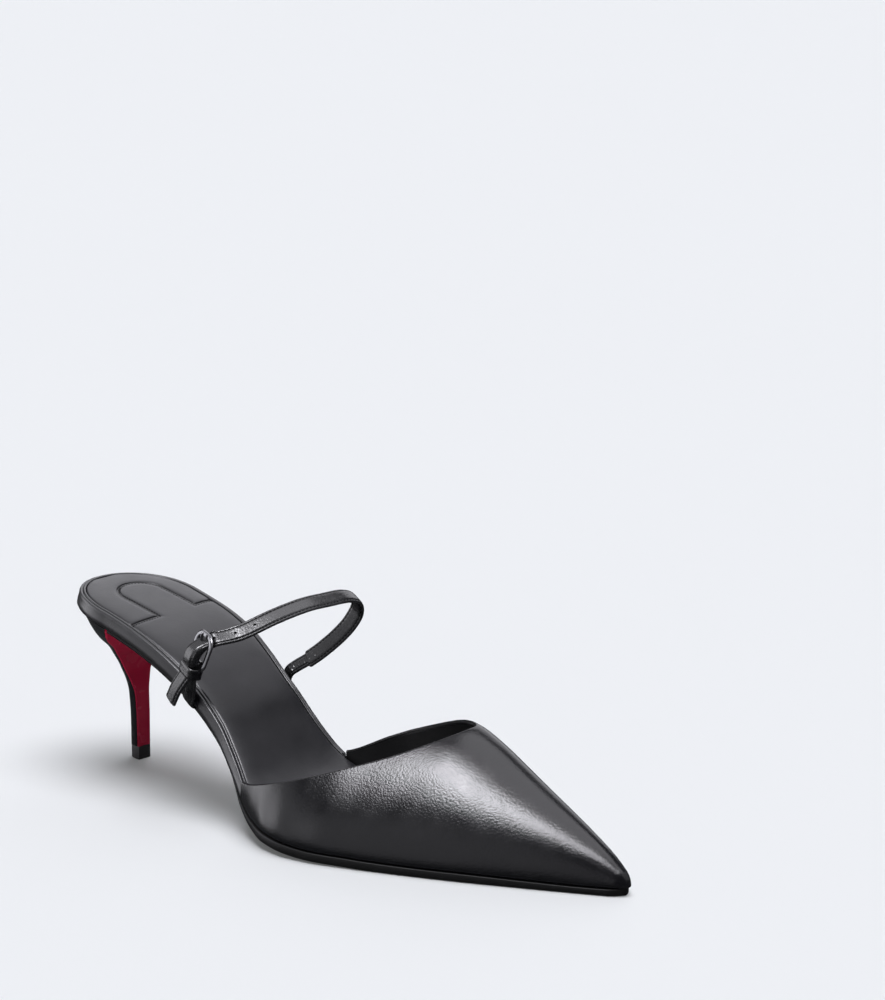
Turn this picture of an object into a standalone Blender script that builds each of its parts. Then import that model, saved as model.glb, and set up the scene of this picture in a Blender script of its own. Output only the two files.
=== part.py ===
"""A pointed mule with a slim heel and an instep strap: the right shoe, standing empty on its sole.

Metres, +Z up. +X runs from the heel to the toe, -Y is the outer side of the foot and the floor is z = 0.
"""
import math

import bmesh
import bpy
import numpy as np
from mathutils import Vector

MM = 0.001

# Driving sizes of the last
LENGTH = 254.5 * MM
SEAT_WIDTH = 46.9 * MM
BALL_WIDTH = 70.0 * MM
HEEL_HEIGHT = 57.3 * MM
BALL_LEVEL = 2.9 * MM
VAMP_HEIGHT = 45.0 * MM
HEEL_ROUND = 28.0 * MM
TOE_ROUND = 4.0 * MM

# Walls, sheets and clearances
GAP = 0.3 * MM
BOARD_ROOM = 0.7 * MM
VAMP_WALL = 1.5 * MM
SIDE_WALL = 5.5 * MM
INSOLE = 2.8 * MM
SOCK = 1.2 * MM
SOCK_POCKET = 0.9 * MM
SOCK_RING = 3.2 * MM
SOLE_EDGE = 1.2 * MM
SOLE_CENTRE = 3.6 * MM
SOLE_LIP = 0.4 * MM
SOLE_TOE = 1.8 * MM
WAIST_INSET = 0.8 * MM
TOP_PIECE = 5.0 * MM
BREAST_COVER = 0.8 * MM

# Strap, buckle and keeper
STRAP_WIDTH = 6.5 * MM
STRAP_THICK = 1.6 * MM
BASE_THICK = 1.4 * MM
STRAP_RISE = 31.0 * MM
BUCKLE_LENGTH = 13.0 * MM
BUCKLE_WIRE = 1.8 * MM
PRONG_WIRE = 1.1 * MM
KEEPER_BAND = 3.4 * MM
KEEPER_THICK = 0.7 * MM

# Where things lie, as shares of LENGTH
WAIST_END = 0.393
CORNER_OUTER = 0.4165
CORNER_INNER = 0.4440
INSOLE_FULL = 0.55
BREAST_STATION = 0.114
SEAT_STATION = 0.079
SOCK_END = 0.925
FOOTBED_END = 0.955

# Plan of the last behind the ball: station, outer edge, inner edge (shares of LENGTH and SEAT_WIDTH)
REAR_OUTLINE = (
    (0.110, -0.525, 0.475),
    (0.177, -0.550, 0.443),
    (0.236, -0.569, 0.397),
    (0.295, -0.586, 0.320),
    (0.354, -0.631, 0.258),
)

# Plan of the last from the waist to the toe: station, outer edge, inner edge (shares of LENGTH and BALL_WIDTH)
FRONT_OUTLINE = (
    (0.393, -0.467, 0.169),
    (0.432, -0.530, 0.187),
    (0.472, -0.604, 0.224),
    (0.511, -0.663, 0.274),
    (0.550, -0.684, 0.316),
    (0.589, -0.669, 0.336),
    (0.648, -0.604, 0.336),
    (0.707, -0.524, 0.307),
    (0.786, -0.406, 0.241),
    (0.864, -0.274, 0.174),
    (0.943, -0.134, 0.109),
    (0.974, -0.077, 0.076),
    (1.000, -0.029, 0.031),
)

# Bottom of the last: station, climb to the heel, ball level, twist towards the inner side
# (shares of LENGTH, of the heel's height above the ball, of BALL_LEVEL and of BALL_WIDTH)
BED = (
    (0.000, 1.055, 1.00, 0.000),
    (0.079, 1.000, 1.00, 0.010),
    (0.157, 0.925, 1.00, 0.014),
    (0.196, 0.877, 1.00, 0.019),
    (0.236, 0.812, 1.00, 0.024),
    (0.275, 0.730, 1.00, 0.030),
    (0.314, 0.625, 1.00, 0.034),
    (0.354, 0.498, 1.00, 0.037),
    (0.393, 0.336, 1.00, 0.037),
    (0.413, 0.256, 1.00, 0.034),
    (0.432, 0.184, 1.00, 0.031),
    (0.452, 0.132, 1.00, 0.026),
    (0.472, 0.099, 1.00, 0.020),
    (0.511, 0.061, 1.00, 0.011),
    (0.550, 0.037, 1.00, 0.006),
    (0.589, 0.020, 1.00, 0.003),
    (0.648, 0.009, 1.00, 0.000),
    (0.707, 0.002, 1.00, 0.000),
    (0.786, 0.000, 1.00, 0.000),
    (0.884, 0.000, 0.88, 0.000),
    (0.943, 0.000, 0.80, 0.000),
    (1.000, 0.000, 0.86, 0.000),
)

# Crest of the vamp: station, side shift, height (shares of LENGTH, BALL_WIDTH and VAMP_HEIGHT)
CREST = (
    (0.410, -0.043, 1.480),
    (0.527, -0.014, 1.233),
    (0.593, 0.000, 1.144),
    (0.640, 0.000, 1.089),
    (0.672, 0.000, 1.058),
    (0.703, 0.004, 1.027),
    (0.727, 0.007, 1.000),
    (0.766, 0.007, 0.911),
    (0.806, 0.007, 0.791),
    (0.845, 0.007, 0.671),
    (0.884, 0.007, 0.553),
    (0.923, 0.007, 0.431),
    (0.963, 0.006, 0.296),
    (0.982, 0.004, 0.218),
    (0.994, 0.003, 0.164),
    (1.000, 0.001, 0.116),
)

# How full the vamp's sections are: station, outer rise, outer reach, inner rise, inner reach
FULLNESS = (
    (0.410, 0.32, 0.35, 0.40, 0.50),
    (0.727, 0.32, 0.35, 0.40, 0.50),
    (0.963, 0.46, 0.50, 0.48, 0.52),
    (1.000, 0.46, 0.50, 0.48, 0.52),
)

# Lines of the vamp from its top edge down to the feather, from the outer corner round the toe to the
# inner corner: station and place round the section at the top edge (0 outer feather, 0.5 crest, 1 inner
# feather), station at the foot, and how late the line turns down. The middle line ends at the toe
VAMP_LINES = (
    (0.4165, 0.052, 0.4165, 1.0),
    (0.446, 0.080, 0.442, 1.0),
    (0.503, 0.130, 0.495, 1.0),
    (0.561, 0.182, 0.560, 1.0),
    (0.625, 0.245, 0.640, 1.0),
    (0.672, 0.302, 0.730, 1.1),
    (0.708, 0.372, 0.830, 1.3),
    (0.727, 0.434, 0.925, 1.7),
    (0.730, 0.468, 0.975, 2.2),
    (0.731, 0.487, 0.996, 2.8),
    (0.731, 0.500, 1.000, 3.0),
    (0.729, 0.515, 0.996, 2.8),
    (0.724, 0.538, 0.975, 2.2),
    (0.713, 0.565, 0.925, 1.7),
    (0.684, 0.620, 0.830, 1.3),
    (0.654, 0.673, 0.730, 1.1),
    (0.595, 0.754, 0.640, 1.0),
    (0.562, 0.791, 0.580, 1.0),
    (0.527, 0.834, 0.530, 1.0),
    (0.495, 0.872, 0.490, 1.0),
    (0.4440, 0.951, 0.4440, 1.0),
)
VAMP_STEPS_ROUND = 60
VAMP_STEPS_DOWN = 12

# Heel sections from the top piece to the seat: level, front, depth, half width, tilt
# (shares of the heel's height, of LENGTH, of SEAT_WIDTH, of SEAT_WIDTH, and of the seat's slope)
HEEL_ROWS = (
    (0.000, 0.0884, 0.130, 0.060, 0.00),
    (0.190, 0.0884, 0.130, 0.062, 0.00),
    (0.380, 0.0868, 0.134, 0.068, 0.00),
    (0.480, 0.0833, 0.128, 0.096, 0.00),
    (0.574, 0.0798, 0.126, 0.139, 0.05),
    (0.670, 0.0794, 0.160, 0.196, 0.10),
    (0.746, 0.0825, 0.209, 0.256, 0.20),
    (0.822, 0.0904, 0.309, 0.352, 0.40),
    (0.900, 0.1040, 0.434, 0.438, 0.70),
    (1.000, 0.1140, 0.570, 0.484, 1.00),
)
BREAST_HOLLOW = 0.10
HEEL_STEPS = 20
HEEL_POINTS = 16

# Strap lines: ahead of the line that joins the two feet of the strap (shares of STRAP_RISE), across from
# the outer foot (0) to the inner foot (1), up (shares of STRAP_RISE), how far the width leans below level
# and how far it turns outwards at its front edge (degrees), and the share of the full width
STRAP_ROWS = (
    (-0.099, -0.141, -0.134, 27, 16, 1.00),
    (-0.018, -0.146, 0.011, 27, 16, 1.00),
    (0.069, -0.136, 0.136, 26, 16, 1.00),
    (0.139, -0.118, 0.232, 18, 16, 1.00),
    (0.162, -0.110, 0.326, 11, 16, 1.00),
    (0.191, -0.083, 0.409, 7, 17, 1.00),
    (0.231, -0.029, 0.463, 5, 17, 1.00),
    (0.266, 0.026, 0.492, 8, 14, 1.00),
    (0.337, 0.042, 0.533, 17, 10, 1.00),
    (0.424, 0.067, 0.610, 29, 3, 1.00),
    (0.494, 0.146, 0.673, 32, 0, 1.00),
    (0.557, 0.243, 0.725, 33, 0, 1.00),
    (0.642, 0.475, 0.855, 33, 0, 1.00),
    (0.691, 0.730, 0.947, 33, 0, 1.00),
    (0.692, 0.952, 0.970, 33, 0, 1.00),
    (0.717, 1.163, 0.968, 33, 0, 1.00),
    (0.694, 1.323, 0.891, 33, 0, 1.00),
    (0.626, 1.393, 0.742, 33, 0, 1.00),
    (0.562, 1.353, 0.581, 33, 0, 1.00),
    (0.459, 1.284, 0.423, 33, 2, 1.00),
    (0.323, 1.197, 0.265, 33, 5, 1.00),
    (0.207, 1.143, 0.158, 33, 8, 1.00),
    (0.143, 1.123, 0.113, 33, 10, 0.74),
    (0.017, 1.088, 0.026, 33, 12, 0.74),
    (-0.045, 1.061, -0.032, 33, 13, 0.74),
    (-0.077, 1.051, -0.106, 33, 13, 0.74),
    (-0.090, 1.049, -0.187, 33, 13, 0.74),
)

# The short strap that holds the buckle, from under the outer rim up to the buckle's foot bar
BASE_ROWS = (
    (0.011, -0.032, -0.212, 30, 8, 1.00),
    (0.040, -0.034, -0.096, 30, 8, 1.00),
    (0.082, -0.044, 0.024, 26, 9, 1.00),
    (0.138, -0.077, 0.159, 17, 13, 1.00),
    (0.176, -0.072, 0.251, 8, 17, 1.00),
)

# Buckle: middle of its foot bar and a point up its long direction (ahead, across, up, as in the strap
# lines), lean and turn of its width in degrees
BUCKLE_FOOT = (0.198, -0.062, 0.311)
BUCKLE_HEAD = (0.288, 0.013, 0.676)
BUCKLE_LEAN = 5.0
BUCKLE_TURN = 17.0
BUCKLE_SIDE_ROOM = 0.7 * MM
BUCKLE_FOOT_ROUND = 1.8 * MM
BUCKLE_HEAD_ROUND = 3.4 * MM
KEEPER_BELOW_FOOT = 3.7 * MM
KEEPER_ROOM = 0.9 * MM

# Heel end of the front sock: a tongue that runs back from the cross seam (shares of LENGTH and SEAT_WIDTH)
SOCK_SEAM = 0.158
TONGUE_BACK = 0.054
TONGUE_HALF = 0.195
TONGUE_MIDDLE = 0.008

# Stations of the strap's two feet on the rims, as shares of LENGTH
STRAP_OUTER_FOOT = 0.295
STRAP_INNER_FOOT = 0.330
STRAP_STEPS = 2


def clear_scene():
    """Remove every object that is in the file."""
    for obj in list(bpy.data.objects):
        bpy.data.objects.remove(obj, do_unlink=True)


def smooth_curve(places, values, at):
    """Read a smooth curve through a table without overshoot (monotone cubic)."""
    places = np.asarray(places, float)
    values = np.asarray(values, float)
    at = np.clip(np.asarray(at, float), places[0], places[-1])
    step = np.diff(places)
    slope = np.diff(values) / step
    tangent = np.concatenate(([slope[0]], np.zeros(len(places) - 2), [slope[-1]]))
    for i in range(1, len(places) - 1):
        if slope[i - 1] * slope[i] > 0.0:
            ahead = 2.0 * step[i] + step[i - 1]
            behind = step[i] + 2.0 * step[i - 1]
            tangent[i] = (ahead + behind) / (ahead / slope[i - 1] + behind / slope[i])
    k = np.clip(np.searchsorted(places, at, side="right") - 1, 0, len(places) - 2)
    t = (at - places[k]) / step[k]
    start = (2.0 * t**3 - 3.0 * t**2 + 1.0) * values[k] + (t**3 - 2.0 * t**2 + t) * step[k] * tangent[k]
    end = (3.0 * t**2 - 2.0 * t**3) * values[k + 1] + (t**3 - t**2) * step[k] * tangent[k + 1]
    return start + end


def outline_rows():
    """Plan of the last in metres: x, outer y, inner y."""
    rows = [(s * LENGTH, a * SEAT_WIDTH, b * SEAT_WIDTH) for s, a, b in REAR_OUTLINE]
    rows += [(s * LENGTH, a * BALL_WIDTH, b * BALL_WIDTH) for s, a, b in FRONT_OUTLINE]
    return np.array(rows)


OUTLINE = outline_rows()


def outline(x, inset=0.0, toe_end=LENGTH):
    """Outer and inner edge of the plan at x, moved inwards by inset, rounded at the heel and the toe."""
    outer = float(smooth_curve(OUTLINE[:, 0], OUTLINE[:, 1], x))
    inner = float(smooth_curve(OUTLINE[:, 0], OUTLINE[:, 2], x))
    middle = (outer + inner) / 2.0
    half = max((inner - outer) / 2.0 - inset, 0.0)
    share = 1.0
    if x < HEEL_ROUND:
        back = min(max((HEEL_ROUND - x) / (HEEL_ROUND - inset), 0.0), 1.0)
        share = (1.0 - back**2.2) ** (1.0 / 2.2)
    if x > toe_end - TOE_ROUND:
        front = min((x - toe_end + TOE_ROUND) / TOE_ROUND, 1.0)
        share = math.sqrt(1.0 - front**2)
    return middle - half * share, middle + half * share


def bed(x, y=None):
    """Height of the last's bottom at x, and at y where it is twisted."""
    stations = [row[0] * LENGTH for row in BED]
    climb = float(smooth_curve(stations, [row[1] for row in BED], x))
    level = float(smooth_curve(stations, [row[2] for row in BED], x))
    z = climb * (HEEL_HEIGHT - BALL_LEVEL) + level * BALL_LEVEL
    if y is None:
        return z
    twist = float(smooth_curve(stations, [row[3] for row in BED], x)) * BALL_WIDTH
    outer, inner = outline(min(max(x, HEEL_ROUND), LENGTH - TOE_ROUND))
    side = (y - (outer + inner) / 2.0) / ((inner - outer) / 2.0)
    return z + twist * min(max(side, -1.0), 1.0)


def footbed_thickness(x):
    """Full side wall behind the vamp, thin insole in front of it."""
    stations = (WAIST_END * LENGTH, INSOLE_FULL * LENGTH)
    return float(smooth_curve(stations, (SIDE_WALL, INSOLE), x))


def footbed_top(x, y):
    """Height of the footbed's top face."""
    return bed(x, y) + GAP + footbed_thickness(x)


def heel_stations(inset, steps):
    """Stations round the back of the seat, close together where the plan turns."""
    reach = HEEL_ROUND - inset
    turns = np.linspace(0.0, math.pi / 2.0, steps + 1)
    return [inset + reach * (1.0 - math.sin(math.pi / 2.0 - t)) for t in turns]


def toe_stations(toe_end, steps):
    """Stations round the tip of the toe."""
    turns = np.linspace(0.0, math.pi / 2.0, steps + 1)
    return [toe_end - TOE_ROUND + TOE_ROUND * math.sin(t) for t in turns]


def plan_stations(inset, toe_end, extra=(), step=4.2 * MM, ends=6):
    """Stations of a body that runs from the back of the seat to toe_end."""
    back = heel_stations(inset, ends)
    front = toe_stations(toe_end, ends)
    count = int((front[0] - back[-1]) / step)
    middle = list(np.linspace(back[-1], front[0], count + 1))[1:-1]
    middle = [x for x in middle if all(abs(x - e) > step / 3.0 for e in extra)]
    return sorted(back + middle + front + list(extra))


def material(name, colour, roughness, metallic=0.0):
    """Principled material of one colour."""
    mat = bpy.data.materials.get(name) or bpy.data.materials.new(name)
    mat.use_nodes = True
    shader = mat.node_tree.nodes["Principled BSDF"]
    shader.inputs["Base Color"].default_value = (*colour, 1.0)
    shader.inputs["Roughness"].default_value = roughness
    shader.inputs["Metallic"].default_value = metallic
    return mat


def add_mesh(name, bm, mat, collection):
    """Turn a bmesh into an object with outward faces."""
    bmesh.ops.remove_doubles(bm, verts=bm.verts, dist=0.00002)
    bmesh.ops.dissolve_degenerate(bm, dist=0.000005, edges=bm.edges)
    bmesh.ops.triangulate(bm, faces=bm.faces)
    bmesh.ops.recalc_face_normals(bm, faces=bm.faces)
    mesh = bpy.data.meshes.new(name)
    bm.to_mesh(mesh)
    bm.free()
    obj = bpy.data.objects.new(name, mesh)
    obj.data.materials.append(mat)
    collection.objects.link(obj)
    return obj


def loft(name, rings, mat, collection, closed=False):
    """Closed body through rings of equal count, capped at both ends unless the rings close on themselves."""
    bm = bmesh.new()
    layers = [[bm.verts.new(p) for p in ring] for ring in rings]
    pairs = list(zip(layers, layers[1:]))
    if closed:
        pairs.append((layers[-1], layers[0]))
    for low, high in pairs:
        for i in range(len(low)):
            j = (i + 1) % len(low)
            bm.faces.new((low[i], low[j], high[j], high[i]))
    if not closed:
        bm.faces.new(layers[0])
        bm.faces.new(layers[-1])
    return add_mesh(name, bm, mat, collection)


def cut(obj, cutter):
    """Take a cutter out of a body."""
    modifier = obj.modifiers.new("Cut by " + cutter.name, "BOOLEAN")
    modifier.operation = "DIFFERENCE"
    modifier.solver = "EXACT"
    modifier.object = cutter


def sheet_rings(stations, edges, low, high, across=5):
    """Rings of a flat body: its edges, lower face and upper face are functions of x and y."""
    rings = []
    for x in stations:
        outer, inner = edges(x)
        sides = np.linspace(outer, inner, across)
        ring = [(x, y, low(x, y)) for y in sides]
        ring += [(x, y, high(x, y)) for y in reversed(sides)]
        rings.append(ring)
    return rings


def outsole(mat, collection):
    """Leather sole from the breast to the toe, flat on the floor under the forefoot."""
    toe_end = LENGTH - SOLE_TOE
    start = BREAST_STATION * LENGTH + GAP
    lip_from = WAIST_END * LENGTH
    lip_full = CORNER_OUTER * LENGTH
    rings = []
    for x in [s for s in plan_stations(0.0, toe_end, extra=(start,)) if s >= start]:
        inset = float(smooth_curve((lip_from, lip_full), (WAIST_INSET, -SOLE_LIP), x))
        outer, inner = outline(x, inset, toe_end)
        middle = (outer + inner) / 2.0
        half = (inner - outer) / 2.0
        edge = SOLE_EDGE * float(smooth_curve((0.8 * LENGTH, LENGTH), (1.0, 1.6), x))
        low = max(bed(x) - SOLE_CENTRE, 0.0)
        ring = [(x, outer, bed(x, outer)), (x, outer, max(bed(x, outer) - edge, 0.0))]
        for side in (-0.8, -0.6, 0.0, 0.6, 0.8):
            y = middle + side * half
            rise = 0.35 if abs(side) > 0.7 else 0.0
            ring.append((x, y, low + rise * max(bed(x, y) - edge - low, 0.0)))
        ring += [(x, inner, max(bed(x, inner) - edge, 0.0)), (x, inner, bed(x, inner)), (x, middle, bed(x, middle))]
        rings.append(ring)
    return loft("outsole", rings, mat, collection)


def footbed_edges(x):
    """Plan of the footbed: full width behind the vamp, inside its wall in front of the corners."""
    toe_end = FOOTBED_END * LENGTH
    outer, inner = outline(x, 0.0, toe_end)
    room = VAMP_WALL + BOARD_ROOM
    nearer = float(smooth_curve((0.88 * LENGTH, toe_end), (0.0, 1.5 * MM), x))
    if x > CORNER_OUTER * LENGTH - GAP:
        outer += room + nearer
    if x > CORNER_INNER * LENGTH - GAP:
        inner -= room + nearer
    middle = (outer + inner) / 2.0
    return min(outer, middle - 0.05 * MM), max(inner, middle + 0.05 * MM)


def footbed(mat, collection, cutters):
    """Wrapped insole: a deep rounded side wall at the seat and waist, a thin board inside the vamp."""
    toe_end = FOOTBED_END * LENGTH
    steps = []
    for corner in (CORNER_OUTER, CORNER_INNER):
        edge = corner * LENGTH - GAP
        steps += [edge, edge + 0.05 * MM]
    rings = []
    for x in plan_stations(0.0, toe_end, extra=steps):
        outer, inner = footbed_edges(x)
        middle = (outer + inner) / 2.0
        half = (inner - outer) / 2.0
        soft = min(1.0 * MM, 0.3 * half)
        points = []
        for sign in (-1.0, 1.0):
            edge = middle + sign * half
            points.append([
                (edge - sign * soft, 0.0), (edge, 0.14), (edge, 0.80), (edge - sign * 0.4 * soft, 0.95),
                (edge - sign * 1.3 * soft, 1.0),
            ])
        ring = [(x, y, bed(x, y) + GAP + s * footbed_thickness(x)) for y, s in points[0]]
        ring.append((x, middle, footbed_top(x, middle)))
        ring += [(x, y, bed(x, y) + GAP + s * footbed_thickness(x)) for y, s in reversed(points[1])]
        ring.append((x, middle, bed(x, middle) + GAP))
        rings.append(ring)
    body = loft("footbed", rings, mat, collection)
    cut(body, sock_body("sock_pocket", SOCK_RING - GAP, -SOCK_POCKET, 3.0 * MM, mat, cutters))
    return body


def sock_body(name, inset, low, high, mat, collection):
    """Sheet that follows the footbed's top, between two heights above it."""
    toe_end = SOCK_END * LENGTH - 2.0 * inset
    return loft(
        name,
        sheet_rings(
            plan_stations(inset, toe_end, step=7.0 * MM),
            lambda x: outline(x, inset, toe_end),
            lambda x, y: footbed_top(x, y) + low,
            lambda x, y: footbed_top(x, y) + high,
            across=7,
        ),
        mat,
        collection,
    )


def tongue_tool(name, room, collection, mat):
    """Upright block in the plan of the front sock and its tongue, grown by room."""
    seam = SOCK_SEAM * LENGTH - room
    half = TONGUE_HALF * SEAT_WIDTH + room
    middle = TONGUE_MIDDLE * SEAT_WIDTH
    back = TONGUE_BACK * LENGTH + half - room
    far = BALL_WIDTH
    plan = [(LENGTH, -far), (seam, -far), (seam, middle - half)]
    for turn in np.linspace(-math.pi / 2.0, math.pi / 2.0, 11):
        plan.append((back - half * math.cos(turn), middle + half * math.sin(turn)))
    plan += [(seam, middle + half), (seam, far), (LENGTH, far)]
    rings = [[(x, y, z) for x, y in plan] for z in (-5.0 * MM, 2.0 * HEEL_HEIGHT)]
    return loft(name, rings, mat, collection)


def socks(mat, collection, cutters):
    """Front sock with its tongue, and the heel sock that the tongue is let into."""
    low = GAP - SOCK_POCKET
    heel = sock_body("sock_heel", SOCK_RING, low, low + SOCK, mat, collection)
    cut(heel, tongue_tool("tongue_cut", GAP, cutters, mat))
    front = sock_body("sock_front", SOCK_RING, low, low + SOCK, mat, collection)
    keep = front.modifiers.new("Keep the tongue's plan", "BOOLEAN")
    keep.operation = "INTERSECT"
    keep.solver = "EXACT"
    keep.object = tongue_tool("tongue_keep", 0.0, cutters, mat)
    return front, heel


def vamp_point(x, place):
    """Point of the vamp's outside: place 0 is the outer feather, 0.5 the crest, 1 the inner feather."""
    stations = [row[0] * LENGTH for row in CREST]
    outer, inner = outline(x)
    crest_y = float(smooth_curve(stations, [row[1] for row in CREST], x)) * BALL_WIDTH
    crest_y = min(max(crest_y, outer), inner)
    crest_z = float(smooth_curve(stations, [row[2] for row in CREST], x)) * VAMP_HEIGHT
    full = [float(smooth_curve([r[0] * LENGTH for r in FULLNESS], [r[i] for r in FULLNESS], x)) for i in range(1, 5)]
    sign, foot_y, rise, reach = (-1.0, outer, full[0], full[1])
    s = 2.0 * place
    if place > 0.5:
        sign, foot_y, rise, reach = (1.0, inner, full[2], full[3])
        s = 2.0 * (1.0 - place)
    foot_z = bed(x, foot_y) + GAP
    width = abs(crest_y - foot_y)
    shape_y = (foot_y, foot_y + sign * 0.03 * width, crest_y + sign * reach * width, crest_y)
    shape_z = (foot_z, foot_z + rise * (crest_z - foot_z), crest_z, crest_z)
    weights = ((1.0 - s) ** 3, 3.0 * s * (1.0 - s) ** 2, 3.0 * s * s * (1.0 - s), s**3)
    y = sum(w * v for w, v in zip(weights, shape_y))
    z = sum(w * v for w, v in zip(weights, shape_z))
    return np.array((x, y, z))


def vamp_grid():
    """Outside of the vamp as rows of points, each row from the top edge down to the feather."""
    turns = np.linspace(0.0, len(VAMP_LINES) - 1.0, VAMP_STEPS_ROUND + 1)
    columns = [smooth_curve(range(len(VAMP_LINES)), [row[i] for row in VAMP_LINES], turns) for i in range(4)]
    grid = []
    for k, (top_x, top_place, foot_x, late) in enumerate(zip(*columns)):
        side = 2 * k - VAMP_STEPS_ROUND
        foot_place = 0.5 if side == 0 else float(side > 0)
        row = []
        for v in np.linspace(0.0, 1.0, VAMP_STEPS_DOWN + 1):
            forward = 1.0 - (1.0 - v) ** late
            down = v**late
            x = (top_x + (foot_x - top_x) * forward) * LENGTH
            row.append(vamp_point(x, top_place + (foot_place - top_place) * down))
        if side == 0:
            row[-1] = vamp_point(LENGTH, 0.0)
        grid.append(row)
    return np.array(grid)


def inward(grid, wall):
    """The same grid moved inwards by the wall along its own normals."""
    along = np.gradient(grid, axis=0)
    down = np.gradient(grid, axis=1)
    normal = np.cross(along, down)
    normal /= np.maximum(np.linalg.norm(normal, axis=2, keepdims=True), 1e-12)
    centre = np.array((0.6 * LENGTH, -0.1 * BALL_WIDTH, 0.0))
    if np.sum(normal * (centre - grid)) < 0.0:
        normal = -normal
    foot = normal[:, -1, :]
    foot[:, 2] = 0.0
    foot /= np.linalg.norm(foot, axis=1, keepdims=True)
    return grid + wall * normal


def vamp(mat, collection):
    """Upper: one hollow wall from the top edge to the feather, open behind and underneath."""
    outside = vamp_grid()
    inside = inward(outside, VAMP_WALL)
    rings = [[tuple(p) for p in out] + [tuple(p) for p in reversed(back)] for out, back in zip(outside, inside)]
    return loft("vamp", rings, mat, collection)


def heel_ring(front_x, depth, half, shift=0.0):
    """Round back of a heel section: from its outer front corner round the back to the inner one."""
    ring = []
    for turn in np.linspace(-math.pi / 2.0, math.pi / 2.0, HEEL_POINTS):
        across = math.copysign(abs(math.sin(turn)) ** 0.95, turn)
        x = front_x - shift - (depth - shift) * abs(math.cos(turn)) ** 0.95
        ring.append((x, half * across))
    return ring


def heel_sections():
    """Heel sections in metres, finely spaced: level, front, depth, half width, tilt."""
    levels = [row[0] for row in HEEL_ROWS]
    at = np.linspace(0.0, 1.0, HEEL_STEPS + 1)
    columns = [smooth_curve(levels, [row[i] for row in HEEL_ROWS], at) for i in range(5)]
    scale = (HEEL_HEIGHT - TOP_PIECE, LENGTH, SEAT_WIDTH, SEAT_WIDTH, 1.0)
    return [[float(v) * s for v, s in zip(values, scale)] for values in zip(*columns)]


def heel_height(x, y, level, tilt):
    """Height of a heel section: level at the top piece, sloped and twisted like the seat at the top."""
    return TOP_PIECE + level + tilt * (bed(x, y) - bed(SEAT_STATION * LENGTH))


def breast_hollow(y, half):
    """How far the breast is hollowed behind its two side edges."""
    return BREAST_HOLLOW * half * max(1.0 - (y / half) ** 2, 0.0)


def heel_shift(tilt):
    """Side shift of a heel section, towards the middle of the seat at the top."""
    outer, inner = outline(BREAST_STATION * LENGTH)
    return tilt * (outer + inner) / 2.0


def heel(mat, collection):
    """Covered heel block, wide under the seat and slim at the tip."""
    back_off = BREAST_COVER + GAP
    rings = []
    for level, front, depth, half, tilt in heel_sections():
        plan = heel_ring(front, depth, half, back_off)
        for y in np.linspace(half, -half, 7)[1:-1]:
            plan.append((front - back_off - breast_hollow(y, half), y))
        shift = heel_shift(tilt)
        rings.append([(x, y + shift, heel_height(x, y + shift, level, tilt)) for x, y in plan])
    return loft("heel", rings, mat, collection)


def breast(mat, collection):
    """Leather facing on the front of the heel."""
    rings = []
    for level, front, depth, half, tilt in heel_sections():
        sides = np.linspace(-half, half, 9)
        plan = [(front - breast_hollow(y, half), y) for y in sides]
        plan += [(front - BREAST_COVER - breast_hollow(y, half), y) for y in reversed(sides)]
        shift = heel_shift(tilt)
        rings.append([(x, y + shift, heel_height(x, y + shift, level, tilt)) for x, y in plan])
    return loft("heel_breast", rings, mat, collection)


def top_piece(mat, collection):
    """Rubber tip under the heel."""
    front, depth, half = heel_sections()[0][1:4]
    plan = heel_ring(front, depth, half)
    rings = [[(x, y, z) for x, y in plan] for z in (0.0, TOP_PIECE)]
    return loft("top_piece", rings, mat, collection)


def strap_frame():
    """Feet of the strap on the two rims."""
    outer_x = STRAP_OUTER_FOOT * LENGTH
    inner_x = STRAP_INNER_FOOT * LENGTH
    outer_y = outline(outer_x)[0]
    inner_y = outline(inner_x)[1]
    outer_foot = Vector((outer_x, outer_y, footbed_top(outer_x, outer_y)))
    inner_foot = Vector((inner_x, inner_y, footbed_top(inner_x, inner_y)))
    return outer_foot, inner_foot


def strap_place(ahead, across, up):
    """Point of a strap line in metres."""
    outer_foot, inner_foot = strap_frame()
    held = min(max(across, 0.0), 1.0)
    point = outer_foot.lerp(inner_foot, held)
    point.y = outer_foot.y + across * (inner_foot.y - outer_foot.y)
    return point + Vector((ahead * STRAP_RISE, 0.0, up * STRAP_RISE))


def smooth_rows(rows, steps):
    """Catmull-Rom curve through the rows of a strap table."""
    points = [np.array((*strap_place(*row[:3]), *row[3:])) for row in rows]
    padded = [2.0 * points[0] - points[1]] + points + [2.0 * points[-1] - points[-2]]
    line = []
    for i in range(1, len(padded) - 2):
        a, b, c, d = padded[i - 1:i + 3]
        for k in range(steps):
            t = k / steps
            line.append(0.5 * (2.0 * b + (c - a) * t + (2.0 * a - 5.0 * b + 4.0 * c - d) * t**2
                               + (3.0 * b - a - 3.0 * c + d) * t**3))
    line.append(points[-1])
    return line


def axes_at(tangent, lean, turn):
    """Width and thickness directions of a strap whose width leans below level and turns outwards."""
    lean = math.radians(lean)
    turn = math.radians(turn)
    width = Vector((math.cos(lean) * math.cos(turn), -math.cos(lean) * math.sin(turn), -math.sin(lean)))
    width = (width - width.dot(tangent) * tangent).normalized()
    return width, tangent.cross(width).normalized()


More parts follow.
